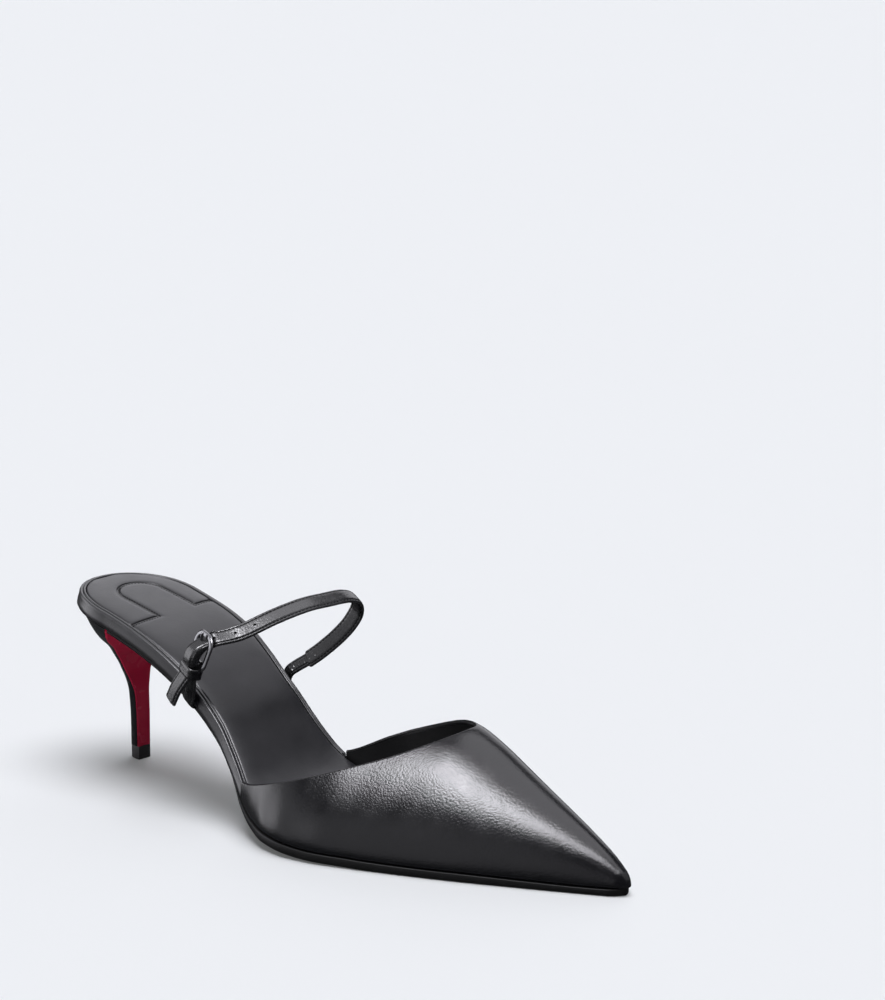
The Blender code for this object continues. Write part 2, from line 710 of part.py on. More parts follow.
def ribbon(name, line, width, thick, mat, collection):
    """Strap with softly rounded edges along a line of points, leans, turns and width shares."""
    edge = ((-0.5, -0.16), (-0.4, -0.5), (0.4, -0.5), (0.5, -0.16), (0.5, 0.16), (0.4, 0.5), (-0.4, 0.5), (-0.5, 0.16))
    rings = []
    for i, row in enumerate(line):
        before = line[max(i - 1, 0)]
        after = line[min(i + 1, len(line) - 1)]
        tangent = Vector(after[:3] - before[:3]).normalized()
        wide, deep = axes_at(tangent, row[3], row[4])
        centre = Vector(row[:3])
        rings.append([centre + wide * (a * width * row[5]) + deep * (b * thick) for a, b in edge])
    return loft(name, rings, mat, collection)


def buckle_axes():
    """Foot of the buckle, its long direction, its width direction and its face direction."""
    foot = strap_place(*BUCKLE_FOOT)
    head = strap_place(*BUCKLE_HEAD)
    long = (head - foot).normalized()
    wide, face = axes_at(long, BUCKLE_LEAN, BUCKLE_TURN)
    return foot, long, wide, face


def wire(name, points, radius, mat, collection, closed):
    """Round wire through the points, as a poly curve with a bevel turned into a mesh."""
    curve = bpy.data.curves.new(name + "_path", "CURVE")
    curve.dimensions = "3D"
    curve.bevel_depth = radius
    curve.bevel_resolution = 2
    curve.use_fill_caps = not closed
    spline = curve.splines.new("POLY")
    spline.points.add(len(points) - 1)
    for target, point in zip(spline.points, points):
        target.co = (*point, 1.0)
    spline.use_cyclic_u = closed
    holder = bpy.data.objects.new(name + "_path", curve)
    bpy.context.scene.collection.objects.link(holder)
    bpy.context.view_layer.update()
    mesh = bpy.data.meshes.new_from_object(holder.evaluated_get(bpy.context.evaluated_depsgraph_get()))
    bpy.data.objects.remove(holder, do_unlink=True)
    bm = bmesh.new()
    bm.from_mesh(mesh)
    bpy.data.meshes.remove(mesh)
    obj = add_mesh(name, bm, mat, collection)
    for polygon in obj.data.polygons:
        polygon.use_smooth = True
    return obj


def buckle(mat, collection):
    """Rounded rectangular frame with a foot bar and a head bar."""
    foot, long, wide, face = buckle_axes()
    half = STRAP_WIDTH / 2.0 + BUCKLE_SIDE_ROOM + BUCKLE_WIRE / 2.0
    length = BUCKLE_LENGTH - BUCKLE_WIRE
    points = []
    for sign_u, sign_v, start in ((1, 1, 0.0), (-1, 1, 0.5), (-1, -1, 1.0), (1, -1, 1.5)):
        corner = BUCKLE_HEAD_ROUND if sign_v > 0 else BUCKLE_FOOT_ROUND
        middle_u = sign_u * (half - corner)
        middle_v = length - corner if sign_v > 0 else corner
        for k in range(5):
            turn = math.pi * (start + 0.5 * k / 4.0)
            u = middle_u + corner * math.cos(turn)
            v = middle_v + corner * math.sin(turn)
            points.append(foot + wide * u + long * v)
    return wire("buckle", points, BUCKLE_WIRE / 2.0, mat, collection, True)


def prong(mat, collection):
    """Buckle tongue from the foot bar through the strap to the head bar."""
    foot, long, wide, face = buckle_axes()
    if face.y > 0.0:
        face = -face
    clear = BUCKLE_WIRE / 2.0 + PRONG_WIRE / 2.0 + GAP
    length = BUCKLE_LENGTH - BUCKLE_WIRE
    points = [
        foot + long * clear,
        foot + long * (0.5 * length),
        foot + long * (length - 1.5 * clear) + face * (0.6 * clear),
        foot + long * (length - 0.3 * clear) + face * clear,
        foot + long * (length + 0.5 * clear) + face * (1.1 * clear),
    ]
    return wire("prong", points, PRONG_WIRE / 2.0, mat, collection, False)


def prong_hole(strap, mat, cutters):
    """Cut the hole that the buckle's tongue goes through."""
    foot, long, wide, face = buckle_axes()
    reach = 0.25 * BUCKLE_LENGTH
    middle = foot + long * (0.5 * (BUCKLE_LENGTH - BUCKLE_WIRE))
    radius = PRONG_WIRE / 2.0 + GAP
    points = [middle - long * reach, middle + long * (2.0 * reach)]
    cut(strap, wire("prong_hole", points, radius, mat, cutters, False))


def below_buckle(line, below):
    """Point and direction of a strap line at a distance below the buckle's foot bar."""
    foot, long, wide, face = buckle_axes()
    for row, following in zip(line, line[1:]):
        start = Vector(row[:3])
        end = Vector(following[:3])
        near = (start - foot).dot(long) + below
        far = (end - foot).dot(long) + below
        if near <= 0.0 < far:
            return start.lerp(end, near / (near - far)), (end - start).normalized()
    return Vector(line[-1][:3]), long


def keeper(tail_line, base_line, mat, collection):
    """Leather loop round the strap's tail and the short strap, just below the buckle."""
    tail, tail_way = below_buckle(tail_line, KEEPER_BELOW_FOOT)
    base, base_way = below_buckle(base_line, KEEPER_BELOW_FOOT)
    foot, long, buckle_wide, face = buckle_axes()
    along = (tail_way + base_way).normalized()
    wide = (buckle_wide - buckle_wide.dot(along) * along).normalized()
    deep = along.cross(wide).normalized()
    centre = (tail + base) / 2.0
    half_wide = STRAP_WIDTH / 2.0 + abs((tail - base).dot(wide)) / 2.0 + KEEPER_ROOM
    half_deep = abs((tail - base).dot(deep)) / 2.0 + max(STRAP_THICK, BASE_THICK) / 2.0 + KEEPER_ROOM
    rings = []
    for turn in np.linspace(0.0, 2.0 * math.pi, 25)[:-1]:
        across = math.copysign(abs(math.cos(turn)) ** 0.35, math.cos(turn))
        outward = math.copysign(abs(math.sin(turn)) ** 0.35, math.sin(turn))
        ring = []
        for cover, up in ((0.0, -0.5), (0.0, 0.5), (1.0, 0.42), (1.0, -0.42)):
            side = wide * (across * (half_wide + cover * KEEPER_THICK))
            front = deep * (outward * (half_deep + cover * KEEPER_THICK))
            ring.append(centre + side + front + along * (up * KEEPER_BAND))
        rings.append(ring)
    return loft("keeper", rings, mat, collection, closed=True)


def centre_on_floor(collections):
    """Put the origin on the floor, under the middle of the whole shoe's box."""
    corners = [v.co for obj in collections[0].objects for v in obj.data.vertices]
    low = Vector([min(c[i] for c in corners) for i in range(3)])
    high = Vector([max(c[i] for c in corners) for i in range(3)])
    shift = Vector((-(low.x + high.x) / 2.0, -(low.y + high.y) / 2.0, -low.z))
    for collection in collections:
        for obj in collection.objects:
            obj.location = shift


def main():
    """Build the shoe's pieces."""
    clear_scene()
    shoe = bpy.data.collections.new("mule_shoe")
    cutters = bpy.data.collections.new("cutters")
    for collection in (shoe, cutters):
        bpy.context.scene.collection.children.link(collection)

    black_leather = material("black_leather", (0.012, 0.012, 0.014), 0.38)
    lining_leather = material("lining_leather", (0.030, 0.030, 0.034), 0.45)
    sole_leather = material("sole_leather", (0.010, 0.010, 0.011), 0.50)
    red_leather = material("red_leather", (0.20, 0.005, 0.020), 0.35)
    tip_rubber = material("tip_rubber", (0.010, 0.010, 0.010), 0.60)
    dark_metal = material("dark_metal", (0.030, 0.030, 0.033), 0.25, 1.0)

    outsole(sole_leather, shoe)
    footbed(black_leather, shoe, cutters)
    socks(lining_leather, shoe, cutters)
    vamp(black_leather, shoe)
    heel(black_leather, shoe)
    breast(red_leather, shoe)
    top_piece(tip_rubber, shoe)
    strap_line = smooth_rows(STRAP_ROWS, STRAP_STEPS)
    base_line = smooth_rows(BASE_ROWS, STRAP_STEPS)
    strap = ribbon("strap", strap_line, STRAP_WIDTH, STRAP_THICK, black_leather, shoe)
    prong_hole(strap, black_leather, cutters)
    ribbon("strap_base", base_line, STRAP_WIDTH, BASE_THICK, black_leather, shoe)
    keeper(strap_line, base_line, black_leather, shoe)
    buckle(dark_metal, shoe)
    prong(dark_metal, shoe)

    centre_on_floor((shoe, cutters))
    for tool in cutters.objects:
        tool.hide_render = True
        tool.display_type = "WIRE"


main()
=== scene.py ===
"""Looks of the pointed mule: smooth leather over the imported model, thread, metal, floor, light and camera.

Metres, +Z up. The shapes are worked out in the shoe's own plan, which starts at the back of the seat, and
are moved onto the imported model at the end.
"""

import math

import bmesh
import bpy
import numpy as np
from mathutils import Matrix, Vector


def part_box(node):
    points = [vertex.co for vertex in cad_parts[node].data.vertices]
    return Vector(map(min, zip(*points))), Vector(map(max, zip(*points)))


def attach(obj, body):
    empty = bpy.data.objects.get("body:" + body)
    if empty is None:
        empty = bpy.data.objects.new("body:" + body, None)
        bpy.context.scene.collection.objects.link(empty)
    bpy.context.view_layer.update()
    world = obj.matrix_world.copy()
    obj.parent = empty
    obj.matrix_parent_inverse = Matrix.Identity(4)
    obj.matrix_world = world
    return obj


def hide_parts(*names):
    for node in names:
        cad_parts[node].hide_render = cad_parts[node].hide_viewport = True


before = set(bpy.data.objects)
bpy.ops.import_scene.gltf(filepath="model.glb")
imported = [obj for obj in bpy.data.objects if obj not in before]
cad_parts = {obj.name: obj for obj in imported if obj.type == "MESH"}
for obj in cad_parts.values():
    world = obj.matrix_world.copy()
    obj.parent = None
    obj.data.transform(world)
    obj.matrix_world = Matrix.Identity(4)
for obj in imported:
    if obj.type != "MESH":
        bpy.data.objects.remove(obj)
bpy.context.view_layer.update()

MM = 0.001
QUARTER = math.pi / 2.0

# Sizes of the last and its covers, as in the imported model
LENGTH = 254.5 * MM
SEAT_WIDTH = 46.9 * MM
BALL_WIDTH = 70.0 * MM
HEEL_HEIGHT = 57.3 * MM
BALL_LEVEL = 2.9 * MM
VAMP_HEIGHT = 45.0 * MM
HEEL_ROUND = 28.0 * MM
TOE_ROUND = 4.0 * MM
GAP = 0.3 * MM
VAMP_WALL = 1.5 * MM
SIDE_WALL = 5.5 * MM
INSOLE = 2.8 * MM
SOCK_RING = 3.2 * MM
SOLE_EDGE = 1.2 * MM
SOLE_CENTRE = 3.6 * MM
SOLE_LIP = 0.4 * MM
SOLE_TOE = 1.8 * MM
WAIST_INSET = 0.8 * MM
TOP_PIECE = 5.0 * MM
BREAST_COVER = 0.8 * MM
STRAP_WIDTH = 6.5 * MM
STRAP_THICK = 1.6 * MM
BASE_THICK = 1.4 * MM
STRAP_RISE = 31.0 * MM
BUCKLE_LENGTH = 13.0 * MM
BUCKLE_WIRE = 1.8 * MM
PRONG_WIRE = 1.1 * MM
KEEPER_THICK = 0.7 * MM
BOARD_ROOM = 0.7 * MM

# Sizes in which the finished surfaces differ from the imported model
SOLE_FRONT_EDGE = 3.0 * MM
SOLE_CLEAR = 0.15 * MM
RIM_LEAN = 0.8 * MM
FRAME_WIRE = 1.3 * BUCKLE_WIRE
FRAME_SIDE_ROOM = 1.1 * MM
KEEPER_HEIGHT = 4.2 * MM
KEEPER_BELOW_FOOT = 2.2 * MM
KEEPER_ROOM = 0.45 * MM

# Finer sizes that only the finished surfaces have
TOPLINE_ROUND = 0.75 * MM
FEATHER_ROUND = 1.1 * MM
FEATHER_TUCK = 0.7 * MM
RIM_ROUND = 1.5 * MM
BEAD_WIDTH = 0.9 * MM
BEAD_HEIGHT = 0.35 * MM
SOLE_SOFT = 0.22 * MM
CORNER_RUN = 1.6 * MM
SOCK_MARGIN = 0.05 * MM
SOCK_LIFT = 0.1 * MM
SOCK_PUFF = 0.5 * MM
SOCK_PUFF_REACH = 2.2 * MM
SOCK_TURN = 0.5 * MM
SOCK_TURN_REACH = 0.35 * MM
SOCK_UNDER = 0.7 * MM
SEAM_DIP = 0.26 * MM
SEAM_REACH = 1.3 * MM
SEAM_DEPTH = 0.8 * MM
SEAM_WIDTH = 0.5 * MM
STITCH_ASIDE = 0.75 * MM
EDGE_MARGIN = 0.95 * MM
EDGE_PRESS = 0.3
EDGE_PRESS_REACH = 0.08
END_THICK = 0.35
END_WIDE = 0.02
BULGE = 1.5
BULGE_WIDER = 0.16
BULGE_AT = 21.5 * MM
BULGE_REACH = 5.5 * MM
HOLES = 3
HOLE_WIDTH = 1.15 * MM
HOLE_SPACING = 7.4 * MM
FIRST_HOLE = 31.5 * MM
GATHER_DEPTH = 0.06 * MM
FOLD_HALF = 0.46 * STRAP_WIDTH

# How flat the drawn tubes are, as thickness over width
FRAME_FLAT = 0.6
FOLD_FLAT = 0.85
PRONG_FLAT = 0.85

# Stitches: length, gap and thickness
STRAP_STITCH = (1.05 * MM, 0.4 * MM, 0.4 * MM)
SOCK_STITCH = (0.9 * MM, 0.4 * MM, 0.34 * MM)
STITCH_OUT = 0.04 * MM
STITCH_IN = 0.05 * MM
SEAM_END = 0.4 * MM

# Where things lie, as shares of LENGTH
WAIST_END = 0.393
CORNER_OUTER = 0.431
CORNER_INNER = 0.4440
INSOLE_FULL = 0.55
SOLE_DOWN = 0.50
BREAST_STATION = 0.114
SEAT_STATION = 0.079
SOCK_END = 0.925
FOOTBED_END = 0.955

# Plan of the last behind the ball: station, outer edge, inner edge (shares of LENGTH and SEAT_WIDTH)
REAR_OUTLINE = (
    (0.110, -0.525, 0.475),
    (0.177, -0.550, 0.443),
    (0.236, -0.569, 0.397),
    (0.295, -0.586, 0.320),
    (0.354, -0.631, 0.258),
)

# Plan of the last from the waist to the toe: station, outer edge, inner edge
# (shares of LENGTH and BALL_WIDTH)
FRONT_OUTLINE = (
    (0.393, -0.467, 0.169),
    (0.432, -0.530, 0.187),
    (0.472, -0.604, 0.224),
    (0.511, -0.663, 0.274),
    (0.550, -0.684, 0.316),
    (0.589, -0.669, 0.336),
    (0.648, -0.604, 0.336),
    (0.707, -0.524, 0.307),
    (0.786, -0.406, 0.241),
    (0.864, -0.274, 0.174),
    (0.943, -0.134, 0.109),
    (0.974, -0.077, 0.076),
    (1.000, -0.029, 0.031),
)

# Bottom of the last: station, climb to the heel, ball level, twist towards the inner side
# (shares of LENGTH, of the heel's height above the ball, of BALL_LEVEL and of BALL_WIDTH)
BED = (
    (0.000, 1.055, 1.00, 0.000),
    (0.079, 1.000, 1.00, 0.010),
    (0.157, 0.925, 1.00, 0.014),
    (0.196, 0.877, 1.00, 0.019),
    (0.236, 0.812, 1.00, 0.024),
    (0.275, 0.730, 1.00, 0.030),
    (0.314, 0.625, 1.00, 0.034),
    (0.354, 0.498, 1.00, 0.037),
    (0.393, 0.336, 1.00, 0.037),
    (0.413, 0.256, 1.00, 0.034),
    (0.432, 0.184, 1.00, 0.031),
    (0.452, 0.132, 1.00, 0.026),
    (0.472, 0.099, 1.00, 0.020),
    (0.511, 0.061, 1.00, 0.011),
    (0.550, 0.037, 1.00, 0.006),
    (0.589, 0.020, 1.00, 0.003),
    (0.648, 0.009, 1.00, 0.000),
    (0.707, 0.002, 1.00, 0.000),
    (0.786, 0.000, 1.00, 0.000),
    (0.884, 0.000, 0.88, 0.000),
    (0.943, 0.000, 0.80, 0.000),
    (1.000, 0.000, 0.86, 0.000),
)

# Crest of the vamp: station, side shift, height (shares of LENGTH, BALL_WIDTH and VAMP_HEIGHT)
CREST = (
    (0.410, -0.043, 1.480),
    (0.527, -0.014, 1.233),
    (0.593, 0.000, 1.144),
    (0.640, 0.000, 1.089),
    (0.672, 0.000, 1.058),
    (0.703, 0.004, 1.027),
    (0.727, 0.007, 1.000),
    (0.766, 0.007, 0.911),
    (0.806, 0.007, 0.791),
    (0.845, 0.007, 0.671),
    (0.884, 0.007, 0.553),
    (0.923, 0.007, 0.431),
    (0.963, 0.006, 0.296),
    (0.982, 0.004, 0.218),
    (0.994, 0.003, 0.164),
    (1.000, 0.001, 0.116),
)

# How full the vamp's sections are: station, outer rise, outer reach, inner rise, inner reach
FULLNESS = (
    (0.410, 0.32, 0.35, 0.40, 0.50),
    (0.727, 0.32, 0.35, 0.40, 0.50),
    (0.963, 0.46, 0.50, 0.48, 0.52),
    (1.000, 0.46, 0.50, 0.48, 0.52),
)

# Lines of the vamp from its top edge down to the feather, from the outer corner round the toe to the
# inner corner: station and place round the section at the top edge (0 outer feather, 0.5 crest, 1 inner
# feather), station at the foot, and how late the line turns down. The middle line ends at the toe
VAMP_LINES = (
    (0.431, 0.052, 0.431, 1.0),
    (0.453, 0.080, 0.450, 1.0),
    (0.503, 0.130, 0.495, 1.0),
    (0.561, 0.182, 0.560, 1.0),
    (0.625, 0.245, 0.640, 1.0),
    (0.672, 0.302, 0.730, 1.1),
    (0.708, 0.372, 0.830, 1.3),
    (0.727, 0.434, 0.925, 1.7),
    (0.730, 0.468, 0.975, 2.2),
    (0.731, 0.487, 0.996, 2.8),
    (0.731, 0.500, 1.000, 3.0),
    (0.729, 0.515, 0.996, 2.8),
    (0.724, 0.538, 0.975, 2.2),
    (0.713, 0.565, 0.925, 1.7),
    (0.684, 0.620, 0.830, 1.3),
    (0.654, 0.673, 0.730, 1.1),
    (0.595, 0.754, 0.640, 1.0),
    (0.562, 0.791, 0.580, 1.0),
    (0.527, 0.834, 0.530, 1.0),
    (0.495, 0.876, 0.490, 1.0),
    (0.4440, 0.962, 0.4440, 1.0),
)

# Heel sections from the top piece to the seat: level, front, depth, half width, tilt
# (shares of the heel's height, of LENGTH, of SEAT_WIDTH, of SEAT_WIDTH, and of the seat's slope)
HEEL_ROWS = (
    (0.000, 0.0884, 0.130, 0.060, 0.00),
    (0.190, 0.0884, 0.130, 0.062, 0.00),
    (0.380, 0.0868, 0.134, 0.068, 0.00),
    (0.480, 0.0833, 0.128, 0.096, 0.00),
    (0.574, 0.0798, 0.126, 0.139, 0.05),
    (0.670, 0.0794, 0.160, 0.196, 0.10),
    (0.746, 0.0825, 0.209, 0.256, 0.20),
    (0.822, 0.0904, 0.309, 0.352, 0.40),
    (0.900, 0.1010, 0.418, 0.424, 0.67),
    (1.000, 0.1140, 0.570, 0.484, 1.00),
)
BREAST_HOLLOW = 0.10
HEEL_FULL = 0.95

# Strap lines: ahead of the line that joins the two feet of the strap (shares of STRAP_RISE), across from
# the outer foot (0) to the inner foot (1), up (shares of STRAP_RISE), how far the width leans below level
# and how far it turns outwards at its front edge (degrees), and the share of the full width
STRAP_ROWS = (
    (-0.112, -0.146, -0.154, 27, 16, 1.00),
    (-0.018, -0.146, 0.011, 27, 16, 1.00),
    (0.069, -0.136, 0.136, 26, 16, 1.00),
    (0.139, -0.118, 0.232, 18, 16, 1.00),
    (0.164, -0.115, 0.328, 11, 16, 1.00),
    (0.193, -0.106, 0.417, 7, 17, 1.00),
    (0.230, -0.083, 0.495, 6, 17, 1.00),
    (0.278, -0.037, 0.557, 8, 15, 1.00),
    (0.332, 0.020, 0.605, 14, 11, 1.00),
    (0.400, 0.037, 0.629, 23, 6, 1.00),
    (0.494, 0.146, 0.673, 31, 1, 1.00),
    (0.557, 0.243, 0.725, 33, 0, 1.00),
    (0.642, 0.475, 0.855, 33, 0, 1.00),
    (0.691, 0.730, 0.947, 33, 0, 1.00),
    (0.692, 0.952, 0.970, 33, 0, 1.00),
    (0.717, 1.163, 0.968, 33, 0, 1.00),
    (0.694, 1.323, 0.891, 33, 0, 1.00),
    (0.626, 1.393, 0.742, 33, 0, 1.00),
    (0.562, 1.353, 0.581, 33, 0, 1.00),
    (0.459, 1.284, 0.423, 33, 2, 1.00),
    (0.323, 1.197, 0.265, 33, 5, 1.00),
    (0.207, 1.143, 0.158, 33, 8, 1.00),
    (0.143, 1.123, 0.113, 33, 10, 0.74),
    (0.017, 1.088, 0.026, 33, 12, 0.74),
    (-0.045, 1.061, -0.032, 33, 13, 0.74),
    (-0.077, 1.051, -0.106, 33, 13, 0.74),
    (-0.090, 1.049, -0.187, 33, 13, 0.74),
)

# The short strap that holds the buckle, from under the outer rim up to the buckle's foot bar
BASE_ROWS = (
    (0.020, 0.130, -0.200, 30, 8, 1.00),
    (0.012, 0.040, -0.195, 30, 8, 1.00),
    (0.014, -0.022, -0.165, 30, 8, 1.00),
    (0.040, -0.034, -0.096, 30, 8, 1.00),
    (0.082, -0.044, 0.024, 26, 9, 1.00),
    (0.138, -0.077, 0.159, 17, 13, 1.00),
    (0.176, -0.072, 0.251, 8, 17, 1.00),
)

# Buckle: middle of its foot bar and a point up its long direction (ahead, across, up, as in the strap
# lines), lean and turn of its width in degrees
BUCKLE_FOOT = (0.198, -0.062, 0.311)
BUCKLE_HEAD = (0.288, 0.013, 0.676)
BUCKLE_LEAN = 5.0
BUCKLE_TURN = 17.0
BUCKLE_FOOT_ROUND = 1.8 * MM
BUCKLE_HEAD_ROUND = 3.4 * MM

# Heel end of the front sock: a tongue that runs back from the cross seam (shares of LENGTH and SEAT_WIDTH)
SOCK_SEAM = 0.158
TONGUE_BACK = 0.054
TONGUE_HALF = 0.195
TONGUE_MIDDLE = 0.008

# Stations of the strap's two feet on the rims, as shares of LENGTH
STRAP_OUTER_FOOT = 0.295
STRAP_INNER_FOOT = 0.330

# The camera that the photograph was taken with, found by fitting the shoe's outline to it
CAMERA_AZIMUTH = 42.37
CAMERA_ELEVATION = 13.293
CAMERA_DEPTH = 1.5
CAMERA_FOCAL_PIXELS = 4038.5
FRAME_WIDTH_PIXELS = 885
FRAME_HEIGHT_PIXELS = 1000
HEEL_POINT_PIXEL = (102.98, 746.4)
SENSOR = 36.0

# How finely the surfaces are divided
HEEL_TURNS = 48
TOE_TURNS = 18
STATION_STEP = 1.3 * MM
VAMP_ROUND = 240
VAMP_DOWN = 64
VAMP_CROWDING = 1.15
LINE_SOFTENING = 9
FOLD_TURNS = 8
CORNER_STEPS = (-0.1, 0.0, 0.4, 0.8, 1.2, 1.6, 1.7)
SOCK_SEAM_AREA = 60.0 * MM
SOCK_FINE_STEP = 0.38 * MM
SOCK_STEP = 1.4 * MM
SOCK_ACROSS = 111
SOCK_CROWDING = 0.35
SEAM_STEP = 0.5 * MM
HEEL_STEPS = 90
HEEL_AROUND = 48
HEEL_FRONT_ACROSS = 15
BREAST_ACROSS = 25
STRAP_ACROSS = 25
STRAP_CURVE_STEPS = 14
STRAP_STEP = 0.35 * MM
FOOT_OVERLAP = 16
SEAM_SKIP = 6
TUBE_TURNS = 20
CORNER_POINTS = 12
PRONG_POINTS = 26
KEEPER_TURNS = 96

# Underside of the sole from its edge inwards (shares of the half width) and how late it curves down
SOLE_UNDER = (0.93, 0.86, 0.78, 0.7, 0.6)
SOLE_UNDER_CURVE = 1.6

# Edges of the rubber tip: level (share of TOP_PIECE) and size (share of the section)
TIP_ROWS = ((0.0, 0.93), (0.024, 0.98), (0.07, 1.0), (0.94, 1.0), (0.984, 0.985), (1.0, 0.95))

# Section of the keeper's band: how far out (share of its thickness) and up (share of its height)
KEEPER_BAND = (
    (0.1, -0.46), (0.0, -0.40), (0.0, 0.40), (0.1, 0.46), (0.5, 0.5), (0.85, 0.46), (1.0, 0.38),
    (1.0, 0.2), (0.92, 0.0), (1.0, -0.2), (1.0, -0.38), (0.85, -0.46), (0.5, -0.5),
)
KEEPER_SQUARE = 0.4

# Leathers: name, darkest and lightest colour, roughness, width and depth of the pebbles, depth of the
# soft unevenness (millimetres), shine, and whether the sock's seam shows in it as a groove with painted shade
LEATHERS = (
    ("black_nappa", (0.004, 0.004, 0.0055), (0.007, 0.0068, 0.009), 0.20, 0.66, 0.050, 0.012, 0.5, False),
    ("wrap_leather", (0.009, 0.0088, 0.011), (0.014, 0.0137, 0.017), 0.30, 0.60, 0.020, 0.040, 0.8, False),
    ("sock_leather", (0.012, 0.0118, 0.0145), (0.017, 0.0167, 0.02), 0.34, 0.60, 0.026, 0.040, 0.5, True),
    ("vamp_lining", (0.008, 0.008, 0.009), (0.012, 0.012, 0.013), 0.50, 0.50, 0.020, 0.040, 0.5, False),
    ("strap_grain", (0.005, 0.005, 0.006), (0.009, 0.009, 0.011), 0.25, 0.70, 0.075, 0.040, 0.8, False),
    ("sole_edge_dye", (0.004, 0.004, 0.004), (0.007, 0.007, 0.007), 0.45, 0.40, 0.020, 0.040, 0.3, False),
)
PATCH_SIZE = 9.0 * MM
# Painted shade: the near-black colour that the sock's seam groove is darkened towards
SEAM_PAINTED_SHADE = (0.001, 0.001, 0.001)

# Grain of the leathers: sizes as shares of the pebbles' width, and how strongly each part tells
BEND_SIZE = 2.5
BEND_PUSH = 0.9
PORE_SIZE = 0.35
PORE_WEIGHT = 0.45
GRAIN_STRENGTH = 0.8
SOFT_SIZE = 0.8 * PATCH_SIZE
WEAR_BY_PATCH = (-0.03, 0.04)
WEAR_BY_PORE = (-0.03, 0.05)

# The values that most of a noise lies between
NOISE_LOW = 0.3
NOISE_HIGH = 0.7

# Light: a soft lamp overhead, a wide pale sweep behind the shoe, and a dim room. The lamps in front only
# give highlights. Name, compass direction and height above the floor in degrees, brightness, width in
# degrees, whether it lights the floor, whether it gives highlights
LAMPS = (
    ("overhead", 45.0, 82.0, 2.3, 46.0, True, True),
    ("floor light", 45.0, 84.0, 3.0, 50.0, True, False),
    ("sweep", 122.0, 30.0, 1.4, 50.0, True, True),
    ("front left", -113.0, 61.0, 15.0, 16.0, False, True),
    ("front middle", -90.0, 57.5, 23.0, 17.0, False, True),
    ("front right", -60.0, 59.0, 10.5, 18.0, False, True),
    ("low left", -161.0, 8.0, 2.0, 38.0, False, True),
    ("low front left", -128.0, 13.0, 0.7, 44.0, False, True),
    ("low front", -93.0, 14.0, 0.55, 44.0, False, True),
    ("rear left", -170.0, 45.0, 0.7, 44.0, False, True),
    ("rear right", 10.0, 36.0, 0.7, 56.0, False, True),
)
LAMP_COLOUR = (0.955, 0.95, 1.0)
ROOM_COLOUR = (0.93, 0.95, 1.0)
ROOM_STRENGTH = 0.08
FLOOR_COLOUR = (0.725, 0.742, 0.742)
FLOOR_GLOW = 0.14


def plan_shift():
    """From the shoe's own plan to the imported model: the footbed's back edge and the top piece give it."""
    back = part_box("footbed")[0].x
    low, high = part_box("top_piece")
    return Vector((back, (low.y + high.y) / 2.0, 0.0))


SHIFT = plan_shift()


def smooth_curve(places, values, at):
    """Read a smooth curve through a table without overshoot (monotone cubic)."""
    places = np.asarray(places, float)
    values = np.asarray(values, float)
    at = np.clip(np.asarray(at, float), places[0], places[-1])
    step = np.diff(places)
    slope = np.diff(values) / step
    tangent = np.concatenate(([slope[0]], np.zeros(len(places) - 2), [slope[-1]]))
    for i in range(1, len(places) - 1):
        if slope[i - 1] * slope[i] > 0.0:
            ahead = 2.0 * step[i] + step[i - 1]
            behind = step[i] + 2.0 * step[i - 1]
            tangent[i] = (ahead + behind) / (ahead / slope[i - 1] + behind / slope[i])
    k = np.clip(np.searchsorted(places, at, side="right") - 1, 0, len(places) - 2)
    t = (at - places[k]) / step[k]
    start = (2.0 * t**3 - 3.0 * t**2 + 1.0) * values[k] + (t**3 - 2.0 * t**2 + t) * step[k] * tangent[k]
    end = (3.0 * t**2 - 2.0 * t**3) * values[k + 1] + (t**3 - t**2) * step[k] * tangent[k + 1]
    return start + end


def column(table, index, at, unit=1.0):
    """Smooth curve through one column of a table, over its first column times unit."""
    return smooth_curve([row[0] * unit for row in table], [row[index] for row in table], at)


def read_table(table, index, at):
    """Smooth column of a table whose first column is a share of LENGTH."""
    return column(table, index, at, LENGTH)


def plan_columns():
    """Plan of the last in metres: stations, outer edge, inner edge."""
    rows = [(s * LENGTH, a * SEAT_WIDTH, b * SEAT_WIDTH) for s, a, b in REAR_OUTLINE]
    rows += [(s * LENGTH, a * BALL_WIDTH, b * BALL_WIDTH) for s, a, b in FRONT_OUTLINE]
    return np.array(rows).T


PLAN = plan_columns()


def outline(x, inset=0.0, toe_end=LENGTH):
    """Outer and inner edge of the plan at x, moved inwards by inset, rounded at the heel and the toe."""
    x = np.asarray(x, float)
    outer = smooth_curve(PLAN[0], PLAN[1], x)
    inner = smooth_curve(PLAN[0], PLAN[2], x)
    middle = (outer + inner) / 2.0
    half = np.maximum((inner - outer) / 2.0 - inset, 0.0)
    back = np.clip((HEEL_ROUND - x) / (HEEL_ROUND - inset), 0.0, 1.0)
    front = np.clip((x - toe_end + TOE_ROUND) / TOE_ROUND, 0.0, 1.0)
    share = (1.0 - back**2.2) ** (1.0 / 2.2) * np.sqrt(1.0 - front**2)
    return middle - half * share, middle + half * share


def bed(x, y=None):
    """Height of the last's bottom at x, and at y where it is twisted."""
    x = np.asarray(x, float)
    climb = read_table(BED, 1, x)
    level = read_table(BED, 2, x)
    z = climb * (HEEL_HEIGHT - BALL_LEVEL) + level * BALL_LEVEL
    if y is None:
        return z
    twist = read_table(BED, 3, x) * BALL_WIDTH
    outer, inner = outline(np.clip(x, HEEL_ROUND, LENGTH - TOE_ROUND))
    side = (np.asarray(y, float) - (outer + inner) / 2.0) / ((inner - outer) / 2.0)
    return z + twist * np.clip(side, -1.0, 1.0)


def footbed_thickness(x):
    """Full side wall behind the vamp, thin insole in front of it."""
    return smooth_curve((WAIST_END * LENGTH, INSOLE_FULL * LENGTH), (SIDE_WALL, INSOLE), x)


